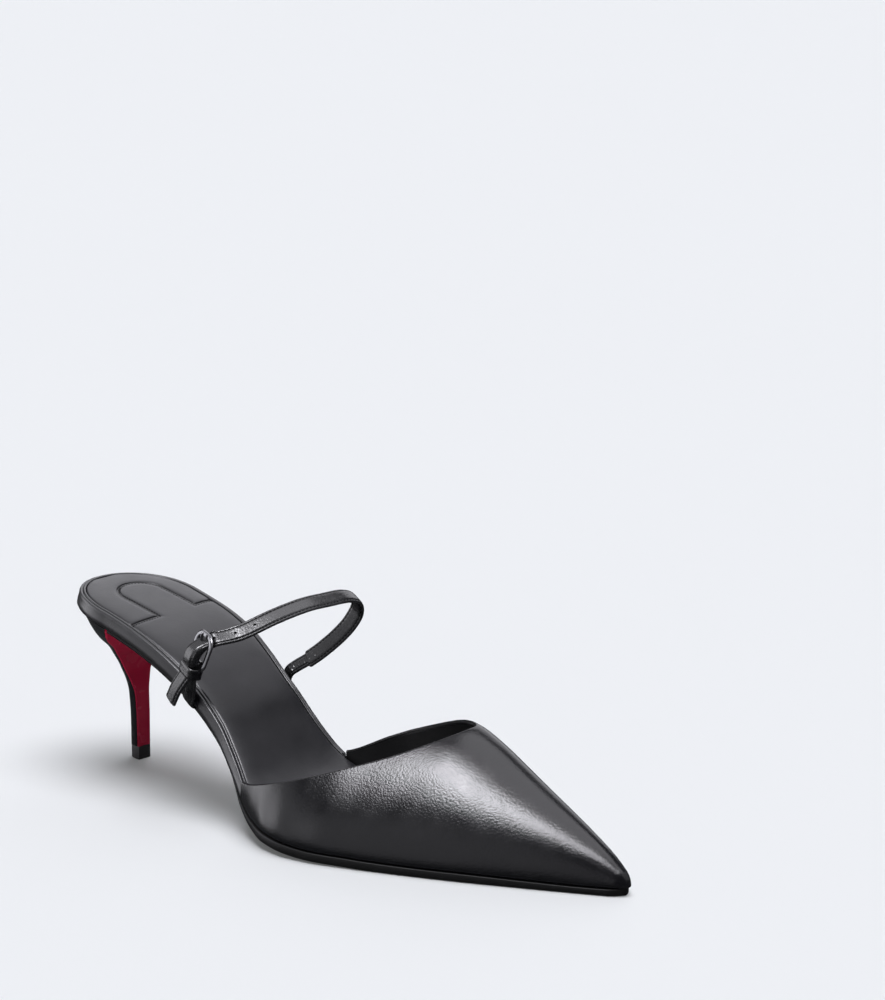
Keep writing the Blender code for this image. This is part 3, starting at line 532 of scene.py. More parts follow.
def footbed_top(x, y):
    """Height of the footbed's top face."""
    return bed(x, y) + GAP + footbed_thickness(x)


def plan_stations(extra=()):
    """Middle stations of a body that runs from the back of the seat to the toe."""
    start = HEEL_ROUND
    end = LENGTH - 4.0 * TOE_ROUND
    count = int((end - start) / STATION_STEP)
    return np.unique(np.concatenate((np.linspace(start, end, count), extra)))


def toe_stations(toe_end):
    """Stations round the toe, from where its rounding starts."""
    return toe_end - TOE_ROUND + TOE_ROUND * np.sin(np.linspace(0.0, QUARTER, TOE_TURNS + 1))


def plan_loop_stations(inset, toe_end, middle):
    """Stations round the back, along the middle and round the toe, for an outline moved in by inset."""
    back_turn = np.linspace(0.0, QUARTER, HEEL_TURNS + 1)[:-1]
    back = inset + (HEEL_ROUND - inset) * (1.0 - np.cos(back_turn))
    approach = np.linspace(middle[-1], toe_end - TOE_ROUND, 8)[1:-1]
    return np.concatenate((back, middle, approach, toe_stations(toe_end)))


def add_object(name, data):
    """New object in the scene."""
    obj = bpy.data.objects.new(name, data)
    bpy.context.scene.collection.objects.link(obj)
    return obj


def finish_mesh(name, bm, materials, smooth_angle=math.radians(45.0), shift=SHIFT):
    """Turn a bmesh into a smooth-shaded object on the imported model."""
    bmesh.ops.remove_doubles(bm, verts=bm.verts, dist=0.004 * MM)
    bmesh.ops.dissolve_degenerate(bm, dist=0.001 * MM, edges=bm.edges)
    bmesh.ops.recalc_face_normals(bm, faces=bm.faces)
    bmesh.ops.translate(bm, verts=bm.verts, vec=shift)
    mesh = bpy.data.meshes.new(name)
    bm.to_mesh(mesh)
    bm.free()
    for mat in materials:
        mesh.materials.append(mat)
    mesh.shade_smooth()
    mesh.set_sharp_from_angle(angle=smooth_angle)
    return add_object(name, mesh)


def skin(bm, rows, round_rows=True, uv=None, slots=None):
    """Faces between rows of points. Each row closes on itself where round_rows is true."""
    layer = bm.loops.layers.uv.verify()
    rows = np.asarray(rows)
    verts = [[bm.verts.new(p) for p in row] for row in rows]
    count = len(verts[0])
    around = range(count) if round_rows else range(count - 1)
    for k in range(len(verts) - 1):
        for i in around:
            j = (i + 1) % count
            face = bm.faces.new((verts[k][i], verts[k][j], verts[k + 1][j], verts[k + 1][i]))
            if slots is not None:
                face.material_index = slots(k, i)
            if uv is not None:
                corners = ((k, i), (k, i + 1), (k + 1, i + 1), (k + 1, i))
                for loop, (a, b) in zip(face.loops, corners):
                    loop[layer].uv = uv(a, b)
    return verts


def settle(obj, node_names):
    """Hang a finished piece on the root body and hide the imported parts that it stands for."""
    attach(obj, "root")
    if node_names:
        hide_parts(*node_names)
    return obj


def close_ends(bm, verts):
    """Flat faces over the first and the last row."""
    bm.faces.new(verts[0])
    bm.faces.new(list(reversed(verts[-1])))


def solid_piece(name, rings, materials, node_names, slots=None):
    """Finished piece with a skin through closed rings and a flat face at both ends."""
    bm = bmesh.new()
    close_ends(bm, skin(bm, rings, slots=slots))
    return settle(finish_mesh(name, bm, materials), node_names)


def fill(tree, node, values):
    """Set a node's inputs: sockets are linked, numbers, vectors and plain colours are put in."""
    for key, value in values.items():
        socket = node.inputs[key]
        if isinstance(value, bpy.types.NodeSocket):
            tree.links.new(value, socket)
        elif socket.type == "RGBA":
            socket.default_value = (*value, 1.0)
        else:
            socket.default_value = value


def add_node(tree, kind, values, output, **settings):
    """New node with its settings and inputs; returns one of its outputs."""
    node = tree.nodes.new(kind)
    for key, value in settings.items():
        setattr(node, key, value)
    fill(tree, node, values)
    return node.outputs[output]


def noise(tree, vector, size, detail=2.0, roughness=0.5, output="Fac"):
    """Noise whose patches are about size wide."""
    values = {"Vector": vector, "Scale": 1.0 / size, "Detail": detail, "Roughness": roughness}
    return add_node(tree, "ShaderNodeTexNoise", values, output)


def cells(tree, vector, size):
    """Rounded cells about size wide, as in pebbled leather."""
    values = {"Vector": vector, "Scale": 1.0 / size}
    return add_node(tree, "ShaderNodeTexVoronoi", values, "Distance", feature="SMOOTH_F1")


def maths(tree, operation, first, second):
    """One sum, product or other step between two sockets or numbers."""
    return add_node(tree, "ShaderNodeMath", {0: first, 1: second}, 0, operation=operation)


def spread(tree, value, low, high):
    """Map the usual values of a noise to a range."""
    values = {"Value": value, "From Min": NOISE_LOW, "From Max": NOISE_HIGH, "To Min": low, "To Max": high}
    return add_node(tree, "ShaderNodeMapRange", values, "Result")


def blend_colours(tree, factor, first, second):
    """Mix of two colours, each plain or a socket, by a factor socket."""
    return add_node(tree, "ShaderNodeMix", {0: factor, 6: first, 7: second}, 2, data_type="RGBA")


def bump(tree, height, depth, strength, normal=None):
    """Bump of a height field whose full range is depth metres."""
    values = {"Height": height, "Distance": depth, "Strength": strength}
    if normal is not None:
        values["Normal"] = normal
    return add_node(tree, "ShaderNodeBump", values, "Normal")


def warp(tree, vector, size, amount):
    """Push a vector about by a soft noise, so that a pattern isn't regular."""
    push = noise(tree, vector, size, 1.0, output="Color")
    values = {0: push, 1: (amount, amount, amount), 2: vector}
    return add_node(tree, "ShaderNodeVectorMath", values, 0, operation="MULTIPLY_ADD")


def new_material(name, colour, roughness, specular=0.5):
    """Node material; returns it, its tree, its shader and its place in the object's own metres."""
    mat = bpy.data.materials.new(name)
    mat.use_nodes = True
    tree = mat.node_tree
    shader = tree.nodes["Principled BSDF"]
    fill(tree, shader, {"Base Color": colour, "Roughness": roughness, "Specular IOR Level": specular})
    return mat, tree, shader, add_node(tree, "ShaderNodeTexCoord", {}, "Object")


def seam_groove(tree):
    """How near the sock's seam is: 1 in the seam, falling to 0 beside it."""
    distance = add_node(tree, "ShaderNodeAttribute", {}, "Fac", attribute_name="seam")
    share = maths(tree, "DIVIDE", distance, SEAM_WIDTH)
    square = maths(tree, "MULTIPLY", share, share)
    return maths(tree, "EXPONENT", maths(tree, "MULTIPLY", square, -1.0), 0.0)


def leather(name, dark, light, gloss, pebble, pebble_depth, soft_depth, specular, sewn):
    """Dyed leather: pebbled grain over fine pores, soft unevenness, and a finish that is worn a little; a
    sewn leather also gets the sock's seam as a groove with painted shade in it.
    """
    mat, tree, shader, place = new_material(name, dark, gloss, specular)
    pebble = pebble * MM
    bent = warp(tree, place, pebble * BEND_SIZE, pebble * BEND_PUSH)
    pebbles = maths(tree, "MULTIPLY", cells(tree, bent, pebble), -1.0)
    pores = noise(tree, place, pebble * PORE_SIZE, 3.0, 0.6)
    patches = noise(tree, place, PATCH_SIZE, 3.0, 0.55)
    colour = blend_colours(tree, patches, dark, light)
    height = maths(tree, "ADD", pebbles, maths(tree, "MULTIPLY", pores, PORE_WEIGHT))
    soft = bump(tree, noise(tree, place, SOFT_SIZE, 1.0), soft_depth * MM, 1.0)
    normal = bump(tree, height, pebble_depth * MM, GRAIN_STRENGTH, soft)
    if sewn:
        groove = seam_groove(tree)
        normal = bump(tree, maths(tree, "MULTIPLY", groove, -1.0), SEAM_DEPTH, 1.0, normal)
        # Painted shade: the base colour is darkened in the seam's groove
        colour = blend_colours(tree, groove, colour, SEAM_PAINTED_SHADE)
    patch_wear = spread(tree, patches, gloss + WEAR_BY_PATCH[0], gloss + WEAR_BY_PATCH[1])
    worn = maths(tree, "ADD", patch_wear, spread(tree, pores, *WEAR_BY_PORE))
    fill(tree, shader, {"Base Color": colour, "Normal": normal, "Roughness": worn})
    return mat


def red_cover(name):
    """Dark red glossy cover of the breast, a little uneven."""
    mat, tree, shader, place = new_material(name, (0.40, 0.004, 0.036), 0.24, 0.15)
    patches = noise(tree, place, 7.0 * MM)
    fill(tree, shader, {
        "Base Color": blend_colours(tree, patches, (0.34, 0.003, 0.030), (0.46, 0.006, 0.044)),
        "Normal": bump(tree, noise(tree, place, 3.0 * MM, 1.0), 0.03 * MM, 0.25),
        "Roughness": spread(tree, patches, 0.2, 0.3),
    })
    return mat


def rubber(name):
    """Matte black rubber with a fine speckle."""
    mat, tree, shader, place = new_material(name, (0.012, 0.012, 0.012), 0.55)
    speckle = noise(tree, place, 0.3 * MM, 3.0, 0.7)
    fill(tree, shader, {
        "Base Color": blend_colours(tree, speckle, (0.008, 0.008, 0.008), (0.02, 0.02, 0.02)),
        "Normal": bump(tree, speckle, 0.03 * MM, 0.5),
        "Roughness": spread(tree, speckle, 0.48, 0.64),
    })
    return mat


def gunmetal(name):
    """Polished dark metal with faint handling marks."""
    mat, tree, shader, place = new_material(name, (0.24, 0.24, 0.25), 0.2)
    marks = noise(tree, place, 0.9 * MM, 3.0, 0.6)
    fill(tree, shader, {
        "Base Color": blend_colours(tree, marks, (0.20, 0.20, 0.21), (0.29, 0.29, 0.30)),
        "Roughness": spread(tree, marks, 0.14, 0.28),
        "Metallic": 1.0,
    })
    return mat


def thread_finish(name, dark, light):
    """Twisted thread, a little uneven in colour and height."""
    mat, tree, shader, place = new_material(name, dark, 0.6, 0.06)
    twist = noise(tree, place, 0.12 * MM)
    fill(tree, shader, {
        "Base Color": blend_colours(tree, twist, dark, light),
        "Normal": bump(tree, twist, 0.02 * MM, 0.6),
    })
    return mat


def floor_finish(name):
    """Pale studio floor with a trace of tone; it glows a little."""
    mat, tree, shader, place = new_material(name, FLOOR_COLOUR, 0.9, 0.0)
    lighter = tuple(min(c * 1.01, 1.0) for c in FLOOR_COLOUR)
    fill(tree, shader, {
        "Base Color": blend_colours(tree, noise(tree, place, 0.5), FLOOR_COLOUR, lighter),
        "Emission Color": FLOOR_COLOUR,
        "Emission Strength": FLOOR_GLOW,
    })
    return mat


def vamp_surface(x, place):
    """Points of the vamp's outside: place 0 is the outer feather, 0.5 the crest, 1 the inner feather."""
    outer, inner = outline(x)
    crest_y = np.clip(read_table(CREST, 1, x) * BALL_WIDTH, outer, inner)
    crest_z = read_table(CREST, 2, x) * VAMP_HEIGHT
    on_inner = place > 0.5
    s = np.where(on_inner, 2.0 * (1.0 - place), 2.0 * place)
    sign = np.where(on_inner, 1.0, -1.0)
    foot_y = np.where(on_inner, inner, outer)
    rise = np.where(on_inner, read_table(FULLNESS, 3, x), read_table(FULLNESS, 1, x))
    reach = np.where(on_inner, read_table(FULLNESS, 4, x), read_table(FULLNESS, 2, x))
    foot_z = bed(x, foot_y) + GAP
    width = np.abs(crest_y - foot_y)
    shape_y = (foot_y, foot_y + sign * 0.03 * width, crest_y + sign * reach * width, crest_y)
    shape_z = (foot_z, foot_z + rise * (crest_z - foot_z), crest_z, crest_z)
    weights = ((1.0 - s) ** 3, 3.0 * s * (1.0 - s) ** 2, 3.0 * s * s * (1.0 - s), s**3)
    y = sum(w * v for w, v in zip(weights, shape_y))
    z = sum(w * v for w, v in zip(weights, shape_z))
    return np.stack((x, y, z), axis=-1)


def soften(values, reach):
    """Smooth a column of numbers over neighbours on both sides; its two ends stay where they are."""
    side = np.arange(-2 * reach, 2 * reach + 1)
    weights = np.exp(-((side / reach) ** 2))
    weights /= weights.sum()
    start = 2.0 * values[0] - values[2 * reach:0:-1]
    end = 2.0 * values[-1] - values[-2:-2 * reach - 2:-1]
    return np.convolve(np.concatenate((start, values, end)), weights, mode="valid")


def vamp_outside():
    """Rows of the vamp's outside, each from the top edge down to the feather."""
    order = range(len(VAMP_LINES))
    turns = np.linspace(0.0, len(VAMP_LINES) - 1.0, VAMP_ROUND + 1)
    lines = [smooth_curve(order, [row[i] for row in VAMP_LINES], turns) for i in range(4)]
    top_x, top_place, foot_x, late = [soften(line, LINE_SOFTENING)[:, None] for line in lines]
    side = 2 * np.arange(VAMP_ROUND + 1)[:, None] - VAMP_ROUND
    foot_place = np.where(side == 0, 0.5, np.where(side > 0, 1.0, 0.0))
    v = np.linspace(0.0, 1.0, VAMP_DOWN + 1)[None, :] ** VAMP_CROWDING
    x = (top_x + (foot_x - top_x) * (1.0 - (1.0 - v) ** late)) * LENGTH
    place = top_place + (foot_place - top_place) * v**late
    grid = vamp_surface(x, place)
    grid[VAMP_ROUND // 2, -1] = vamp_surface(np.array([LENGTH]), np.array([0.0]))[0]
    return grid


def inward_normals(grid):
    """Unit normals of a grid of points, pointing into the shoe."""
    along = np.gradient(grid, axis=0)
    down = np.gradient(grid, axis=1)
    normal = np.cross(along, down)
    normal /= np.maximum(np.linalg.norm(normal, axis=2, keepdims=True), 1e-12)
    centre = np.array((0.6 * LENGTH, -0.1 * BALL_WIDTH, 0.0))
    if np.sum(normal * (centre - grid)) < 0.0:
        normal = -normal
    return normal


def make_vamp(black, lining):
    """Upper: outside, folded top edge, lining, and the feather that tucks in over the sole."""
    outside = vamp_outside()
    normal = inward_normals(outside)
    level = normal.copy()
    level[:, :, 2] = 0.0
    level /= np.maximum(np.linalg.norm(level, axis=2, keepdims=True), 1e-9)
    height = outside[:, :, 2] - outside[:, -1:, 2]
    low = np.clip(1.0 - height / FEATHER_ROUND, 0.0, 1.0)
    tuck = FEATHER_TUCK * (1.0 - np.sqrt(1.0 - low**2))
    shaped = outside + level * tuck[:, :, None]
    inside = outside + normal * VAMP_WALL
    inside[:, -1, :] = outside[:, -1, :] + level[:, -1, :] * (VAMP_WALL + FEATHER_TUCK)
    up = outside[:, 0] - outside[:, 1]
    up /= np.linalg.norm(up, axis=1, keepdims=True)
    middle = outside[:, 0] + normal[:, 0] * (VAMP_WALL / 2.0)
    fold = []
    for turn in np.linspace(0.0, math.pi, FOLD_TURNS + 1)[1:-1]:
        out = -normal[:, 0] * (math.cos(turn) * VAMP_WALL / 2.0)
        fold.append(middle + out + up * (math.sin(turn) * TOPLINE_ROUND))
    fold = np.stack(fold, axis=1)
    rows = np.concatenate((shaped[:, ::-1], fold, inside), axis=1)
    last_black = shaped.shape[1] + fold.shape[1] + 1
    foot = rows.shape[1] - 1

    def lined(k, i):
        return 1 if last_black < i < foot else 0

    return solid_piece("vamp_leather", rows, (black, lining), ("vamp",), lined)


def sole_side(side, sign, top, bottom, soft):
    """Points down the edge of the sole, rounded at both ends."""
    near = 0.3 * soft
    points = [(side - sign * soft, top), (side - sign * near, top - near), (side, top - soft)]
    return points + [(side, bottom + soft), (side - sign * near, bottom + near), (side - sign * soft, bottom)]


def make_outsole(edge_finish):
    """Leather sole: a thin edge at the waist, reaching down to the floor under the forefoot."""
    toe_end = LENGTH - SOLE_TOE
    start = BREAST_STATION * LENGTH + GAP
    waist = WAIST_END * LENGTH
    middle = plan_stations()
    front = toe_stations(toe_end)
    approach = np.linspace(middle[-1], front[0], 10)[1:-1]
    rings = []
    for x in np.concatenate(([start], middle[middle > start + 0.5 * MM], approach, front)):
        inset = float(smooth_curve((waist, CORNER_OUTER * LENGTH), (WAIST_INSET, -SOLE_LIP), x))
        edge = float(smooth_curve((waist, SOLE_DOWN * LENGTH), (SOLE_EDGE, SOLE_FRONT_EDGE), x))
        outer, inner = (float(v) for v in outline(x, inset, toe_end))
        centre = (outer + inner) / 2.0
        half = (inner - outer) / 2.0
        low = max(float(bed(x)) - SOLE_CENTRE, 0.0)
        soft = min(SOLE_SOFT, 0.3 * half)
        sides = []
        for sign in (-1.0, 1.0):
            side = centre + sign * half
            top = float(bed(x, side))
            bottom = max(top - edge, SOLE_CLEAR)
            points = sole_side(side, sign, top, bottom, soft)
            for share in SOLE_UNDER:
                rise = ((share - SOLE_UNDER[-1]) / (1.0 - SOLE_UNDER[-1])) ** SOLE_UNDER_CURVE
                points.append((centre + sign * (half - soft) * share, low + rise * (bottom - low)))
            sides.append(points)
        loop = sides[0] + [(centre, low)] + sides[1][::-1] + [(centre, float(bed(x)))]
        rings.append([(x, y, z) for y, z in loop])
    return solid_piece("outsole_leather", rings, (edge_finish,), ("outsole",))


def rim_profile():
    """Section of the footbed's rim: inset from the edge, height above the board (shares of the thickness),
    height added in metres."""
    rows = [(0.8 * MM, 0.0, 0.0), (0.25 * MM, 0.0, 0.25 * MM), (0.0, 0.0, 0.8 * MM)]
    rows.append((0.4 * RIM_LEAN, 0.45, 0.0))
    for turn in np.linspace(0.0, QUARTER, 7):
        over = (RIM_ROUND - RIM_LEAN) * (1.0 - math.cos(turn))
        rows.append((RIM_LEAN + over, 1.0, -RIM_ROUND * (1.0 - math.sin(turn))))
    bead = SOCK_RING - BEAD_WIDTH
    rows += [(bead - 0.30 * MM, 1.0, 0.0), (bead - 0.08 * MM, 1.0, -0.25 * MM)]
    for turn in np.linspace(0.0, math.pi, 7):
        rows.append((bead + BEAD_WIDTH * 0.5 * (1.0 - math.cos(turn)), 1.0, BEAD_HEIGHT * math.sin(turn)))
    return rows + [(SOCK_RING + 0.1 * MM, 1.0, -0.6 * MM), (SOCK_RING + 1.2 * MM, 1.0, -0.6 * MM)]


def vamp_room(x, side):
    """How far the footbed stands inside its own outline in front of the vamp's rear corners."""
    corner = CORNER_OUTER if side < 0 else CORNER_INNER
    edge = corner * LENGTH - GAP
    return (VAMP_WALL + BOARD_ROOM) * np.clip((x - edge) / CORNER_RUN, 0.0, 1.0)


def make_footbed(black):
    """Wrapped insole: side wall, rounded rim, piped bead and the hollow that the sock lies in."""
    corners = [c * LENGTH - GAP + d * MM for c in (CORNER_OUTER, CORNER_INNER) for d in CORNER_STEPS]
    middle = plan_stations(corners)
    loops = []
    for inset, share, extra in rim_profile():
        toe_end = FOOTBED_END * LENGTH - 2.0 * max(inset, 0.0)
        x = plan_loop_stations(max(inset, 0.0), toe_end, middle)
        outer, inner = outline(x, inset, toe_end)
        centre = (outer + inner) / 2.0
        outer = np.minimum(outer + vamp_room(x, -1), centre)
        inner = np.maximum(inner - vamp_room(x, 1), centre)
        loop = []
        for xx, y in list(zip(x[::-1], outer[::-1])) + list(zip(x[1:], inner[1:])):
            loop.append((xx, y, float(bed(xx, y)) + GAP + share * float(footbed_thickness(xx)) + extra))
        loops.append(loop)
    bm = bmesh.new()
    verts = skin(bm, loops, round_rows=False)
    close_across(bm, verts[0])
    close_across(bm, verts[-1])
    return settle(finish_mesh("footbed_wrap", bm, (black,)), ("footbed",))


def close_across(bm, loop):
    """Close a long outline with strips from its outer to its inner side."""
    half = len(loop) // 2
    for k in range(half):
        a = loop[half - k]
        b = loop[half + k]
        c = loop[half + k + 1]
        d = loop[half - k - 1]
        corners = [v for i, v in enumerate((a, b, c, d)) if v not in (a, b, c, d)[:i]]
        if len(corners) > 2:
            bm.faces.new(corners)


def tongue_sizes():
    """Half width of the sock's tongue, its middle line and the middle of its round end."""
    half = TONGUE_HALF * SEAT_WIDTH
    return half, TONGUE_MIDDLE * SEAT_WIDTH, TONGUE_BACK * LENGTH + half


def tongue_path(step, aside=0.0):
    """Plan of the seam: in from the outer edge, round the tongue and out to the inner edge."""
    half, middle, back = tongue_sizes()
    half -= aside
    seam = SOCK_SEAM * LENGTH + aside
    points = [(seam, -0.6 * SEAT_WIDTH), (seam, middle - half)]
    for turn in np.linspace(-QUARTER, QUARTER, 25):
        points.append((back - half * math.cos(turn), middle + half * math.sin(turn)))
    points += [(seam, middle + half), (seam, 0.6 * SEAT_WIDTH)]
    path = []
    for (ax, ay), (bx, by) in zip(points, points[1:]):
        count = max(int(math.hypot(bx - ax, by - ay) / step), 1)
        path += [(ax + (bx - ax) * i / count, ay + (by - ay) * i / count) for i in range(count)]
    return np.array(path + [points[-1]])


def inside_tongue(x, y):
    """Distance from the sock's seam, positive in the front sock and its tongue."""
    half, middle, back = tongue_sizes()
    off = np.hypot(np.minimum(x - back, 0.0), y - middle)
    return np.maximum(half - off, x - SOCK_SEAM * LENGTH)


def sock_height(x, y, edge):
    """Top of the padded sock above the footbed's rim, edge being the distance to its border."""
    seam = np.abs(inside_tongue(x, y))
    lift = SOCK_LIFT + SOCK_PUFF * (1.0 - np.exp(-edge / SOCK_PUFF_REACH))
    lift = lift - SOCK_TURN * np.exp(-(edge / SOCK_TURN_REACH) ** 2)
    return lift - SEAM_DIP * np.exp(-(seam / SEAM_REACH) ** 2)


def make_sock(lining):
    """Padded sock with the sewn tongue at the seat; the imported front and heel socks, hidden, are under it.
    """
    ring = SOCK_RING + SOCK_MARGIN
    toe_end = SOCK_END * LENGTH - 2.0 * ring
    fine = np.arange(HEEL_ROUND, SOCK_SEAM_AREA, SOCK_FINE_STEP)
    rest = np.arange(SOCK_SEAM_AREA, LENGTH - 7.0 * TOE_ROUND, SOCK_STEP)
    stations = plan_loop_stations(ring, toe_end, np.concatenate((fine, rest)))
    outer, inner = outline(stations, ring, toe_end)
    across = SOCK_CROWDING * np.sin(np.linspace(-QUARTER, QUARTER, SOCK_ACROSS))
    across = across + (1.0 - SOCK_CROWDING) * np.linspace(-1.0, 1.0, SOCK_ACROSS)
    half = (inner - outer)[:, None] / 2.0
    y = (outer + inner)[:, None] / 2.0 + half * across[None, :]
    x = np.repeat(stations[:, None], SOCK_ACROSS, axis=1)
    side = half * (1.0 - np.abs(across[None, :]))
    back = x - ring
    edge = np.minimum(side, np.where(back < HEEL_ROUND, back, 1.0))
    edge = np.minimum(edge, toe_end - x)
    z = footbed_top(x, y) + sock_height(x, y, np.maximum(edge, 0.0))
    top = np.stack((x, y, z), axis=-1)
    bm = bmesh.new()
    verts = skin(bm, top, round_rows=False)
    under = []
    for row in top:
        ends = [(p[0], p[1], float(footbed_top(p[0], p[1])) - SOCK_UNDER) for p in (row[0], row[-1])]
        under.append([bm.verts.new(p) for p in ends])
    for k in range(len(top) - 1):
        bm.faces.new((verts[k][0], verts[k + 1][0], under[k + 1][0], under[k][0]))
        bm.faces.new((verts[k][-1], under[k][1], under[k + 1][1], verts[k + 1][-1]))
        bm.faces.new((under[k][0], under[k + 1][0], under[k + 1][1], under[k][1]))
    obj = finish_mesh("sock_lining", bm, (lining,))
    places = np.array([tuple(v.co - SHIFT) for v in obj.data.vertices])
    seam = obj.data.attributes.new("seam", "FLOAT", "POINT")
    seam.data.foreach_set("value", inside_tongue(places[:, 0], places[:, 1]))
    return settle(obj, ("sock_front", "sock_heel"))


def heel_rows():
    """Heel sections in metres: level, front, depth, half width, tilt."""
    at = np.linspace(0.0, 1.0, HEEL_STEPS + 1)
    scale = (HEEL_HEIGHT - TOP_PIECE, LENGTH, SEAT_WIDTH, SEAT_WIDTH, 1.0)
    return list(zip(*[column(HEEL_ROWS, i, at) * scale[i] for i in range(5)]))


def heel_back(front_x, depth, half, off):
    """Round back of a heel section, from its outer front corner to the inner one."""
    ring = []
    for turn in np.linspace(-QUARTER, QUARTER, HEEL_AROUND):
        across = math.copysign(abs(math.sin(turn)) ** HEEL_FULL, turn)
        ring.append((front_x - off - (depth - off) * abs(math.cos(turn)) ** HEEL_FULL, half * across))
    return ring


def heel_ring(plan, level, tilt):
    """Place a heel section: level at the top piece, sloped and twisted like the seat at the top."""
    outer, inner = outline(BREAST_STATION * LENGTH)
    shift = tilt * float(outer + inner) / 2.0
    seat = float(bed(SEAT_STATION * LENGTH))
    return [(x, y + shift, TOP_PIECE + level + tilt * (float(bed(x, y + shift)) - seat)) for x, y in plan]


def breast_hollow(y, half):
    """How far the breast is hollowed behind its two side edges."""
    return BREAST_HOLLOW * half * max(1.0 - (y / half) ** 2, 0.0)


def make_heel(black):
    """Covered heel block."""
    off = BREAST_COVER + 0.5 * GAP
    rings = []
    for level, front, depth, half, tilt in heel_rows():
        front_sides = np.linspace(half, -half, HEEL_FRONT_ACROSS)[1:-1]
        plan = heel_back(front, depth, half, off)
        plan += [(front - off - breast_hollow(y, half), y) for y in front_sides]
        rings.append(heel_ring(plan, level, tilt))
    return solid_piece("heel_cover", rings, (black,), ("heel",))


def make_breast(red):
    """Glossy red cover of the heel's front, hollowed between its two edges."""
    rings = []
    for level, front, depth, half, tilt in heel_rows():
        sides = np.linspace(-half, half, BREAST_ACROSS)
        plan = [(front - breast_hollow(y, half), y) for y in sides]
        plan += [(front - BREAST_COVER - breast_hollow(y, half), y) for y in reversed(sides)]
        rings.append(heel_ring(plan, level, tilt))
    return solid_piece("breast_cover", rings, (red,), ("heel_breast",))


def make_top_piece(black_rubber):
    """Rubber tip with a softly worn edge."""
    level, front, depth, half, tilt = heel_rows()[0]
    plan = heel_back(front, depth, half, 0.0)
    centre = front - depth / 2.0
    rings = []
    for up, share in TIP_ROWS:
        rings.append([(centre + (x - centre) * share, y * share, up * TOP_PIECE) for x, y in plan])
    return solid_piece("heel_tip", rings, (black_rubber,), ("top_piece",))


def strap_place(ahead, across, up):
    """Point of a strap line in metres."""
    feet = []
    for station, side in ((STRAP_OUTER_FOOT, 0), (STRAP_INNER_FOOT, 1)):
        x = station * LENGTH
        y = float(outline(x)[side])
        feet.append(Vector((x, y, float(footbed_top(x, y)))))
    held = min(max(across, 0.0), 1.0)
    point = feet[0].lerp(feet[1], held)
    point.y = feet[0].y + across * (feet[1].y - feet[0].y)
    return point + Vector((ahead * STRAP_RISE, 0.0, up * STRAP_RISE))


def smooth_rows(rows, steps):
    """Catmull-Rom curve through the rows of a strap table."""
    points = [np.array((*strap_place(*row[:3]), *row[3:])) for row in rows]
    padded = [2.0 * points[0] - points[1]] + points + [2.0 * points[-1] - points[-2]]
    line = []
    for i in range(1, len(padded) - 2):
        a, b, c, d = padded[i - 1:i + 3]
        for k in range(steps):
            t = k / steps
            line.append(0.5 * (2.0 * b + (c - a) * t + (2.0 * a - 5.0 * b + 4.0 * c - d) * t**2
                               + (3.0 * b - a - 3.0 * c + d) * t**3))
    line.append(points[-1])
    return np.array(line)


def distances(line):
    """Distance of each point of a line from its start."""
    return np.concatenate(([0.0], np.cumsum(np.linalg.norm(np.diff(line[:, :3], axis=0), axis=1))))


def even_line(rows):
    """Smooth line through the rows of a strap table, with points a set distance apart."""
    line = smooth_rows(rows, STRAP_CURVE_STEPS)
    length = distances(line)
    at = np.linspace(0.0, length[-1], max(int(length[-1] / STRAP_STEP), 2))
    return np.stack([np.interp(at, length, line[:, i]) for i in range(line.shape[1])], axis=1)


def axes_at(tangent, lean, turn):
    """Width and thickness directions of a strap whose width leans below level and turns outwards."""
    lean = math.radians(lean)
    turn = math.radians(turn)
    width = Vector((math.cos(lean) * math.cos(turn), -math.cos(lean) * math.sin(turn), -math.sin(lean)))
    width = (width - width.dot(tangent) * tangent).normalized()
    return width, tangent.cross(width).normalized()


def strap_frames(line):
    """Centre, width direction and thickness direction at each point of a strap line."""
    frames = []
    for i, row in enumerate(line):
        tangent = Vector(line[min(i + 2, len(line) - 1)][:3] - line[max(i - 2, 0)][:3]).normalized()
        wide, deep = axes_at(tangent, row[3], row[4])
        frames.append((Vector(row[:3]), wide, deep, tangent))
    return frames


def puffy(u, margin):
    """Thickness share of a stitched strap across its width, u from -1 to 1."""
    full = max(1.0 - abs(u) ** 5, 0.0) ** 0.5
    return full * (1.0 - EDGE_PRESS * math.exp(-((abs(u) - 1.0 + margin) / EDGE_PRESS_REACH) ** 2))


def bulge(at):
    """Where the strap swells as it turns round the buckle's foot bar, from 0 to 1."""
    return math.exp(-((at - BULGE_AT) / BULGE_REACH) ** 2)


def ribbon(name, mat, line, thick, wave=None, round_start=0.0, round_end=0.0, swell=None):
    """Padded strap along a line; the ends may be rounded in plan, wave may ripple the surface, and swell
    may make a place of it thicker and wider."""
    length = distances(line)
    across = np.sin(np.linspace(-QUARTER, QUARTER, STRAP_ACROSS))
    around = [(u, 1.0) for u in across] + [(u, -1.0) for u in across[::-1][1:-1]]
    rows = []
    for (centre, wide, deep, tangent), row, at in zip(strap_frames(line), line, length):
        swollen = 0.0 if swell is None else swell(at)
        half = STRAP_WIDTH * row[5] / 2.0 * (1.0 + BULGE_WIDER * swollen)
        shrink = 1.0
        for rounding, away in ((round_start, at), (round_end, length[-1] - at)):
            if rounding > 0.0 and away < rounding:
                shrink = min(shrink, math.sqrt(max(1.0 - (1.0 - away / rounding) ** 2, END_WIDE**2)))
        margin = EDGE_MARGIN / half
        face = []
        for u, sign in around:
            lift = thick / 2.0 * puffy(u, margin) * (END_THICK + (1.0 - END_THICK) * shrink)
            lift *= 1.0 + BULGE * swollen
            if wave is not None:
                lift += wave(at, u) * puffy(u, margin)
            face.append(tuple(centre + wide * (u * half * shrink) + deep * (sign * lift)))
        rows.append(face)
    bm = bmesh.new()
    close_ends(bm, skin(bm, rows, uv=lambda k, i: (length[k] * 100.0, i / len(around))))
    return finish_mesh(name, bm, (mat,))


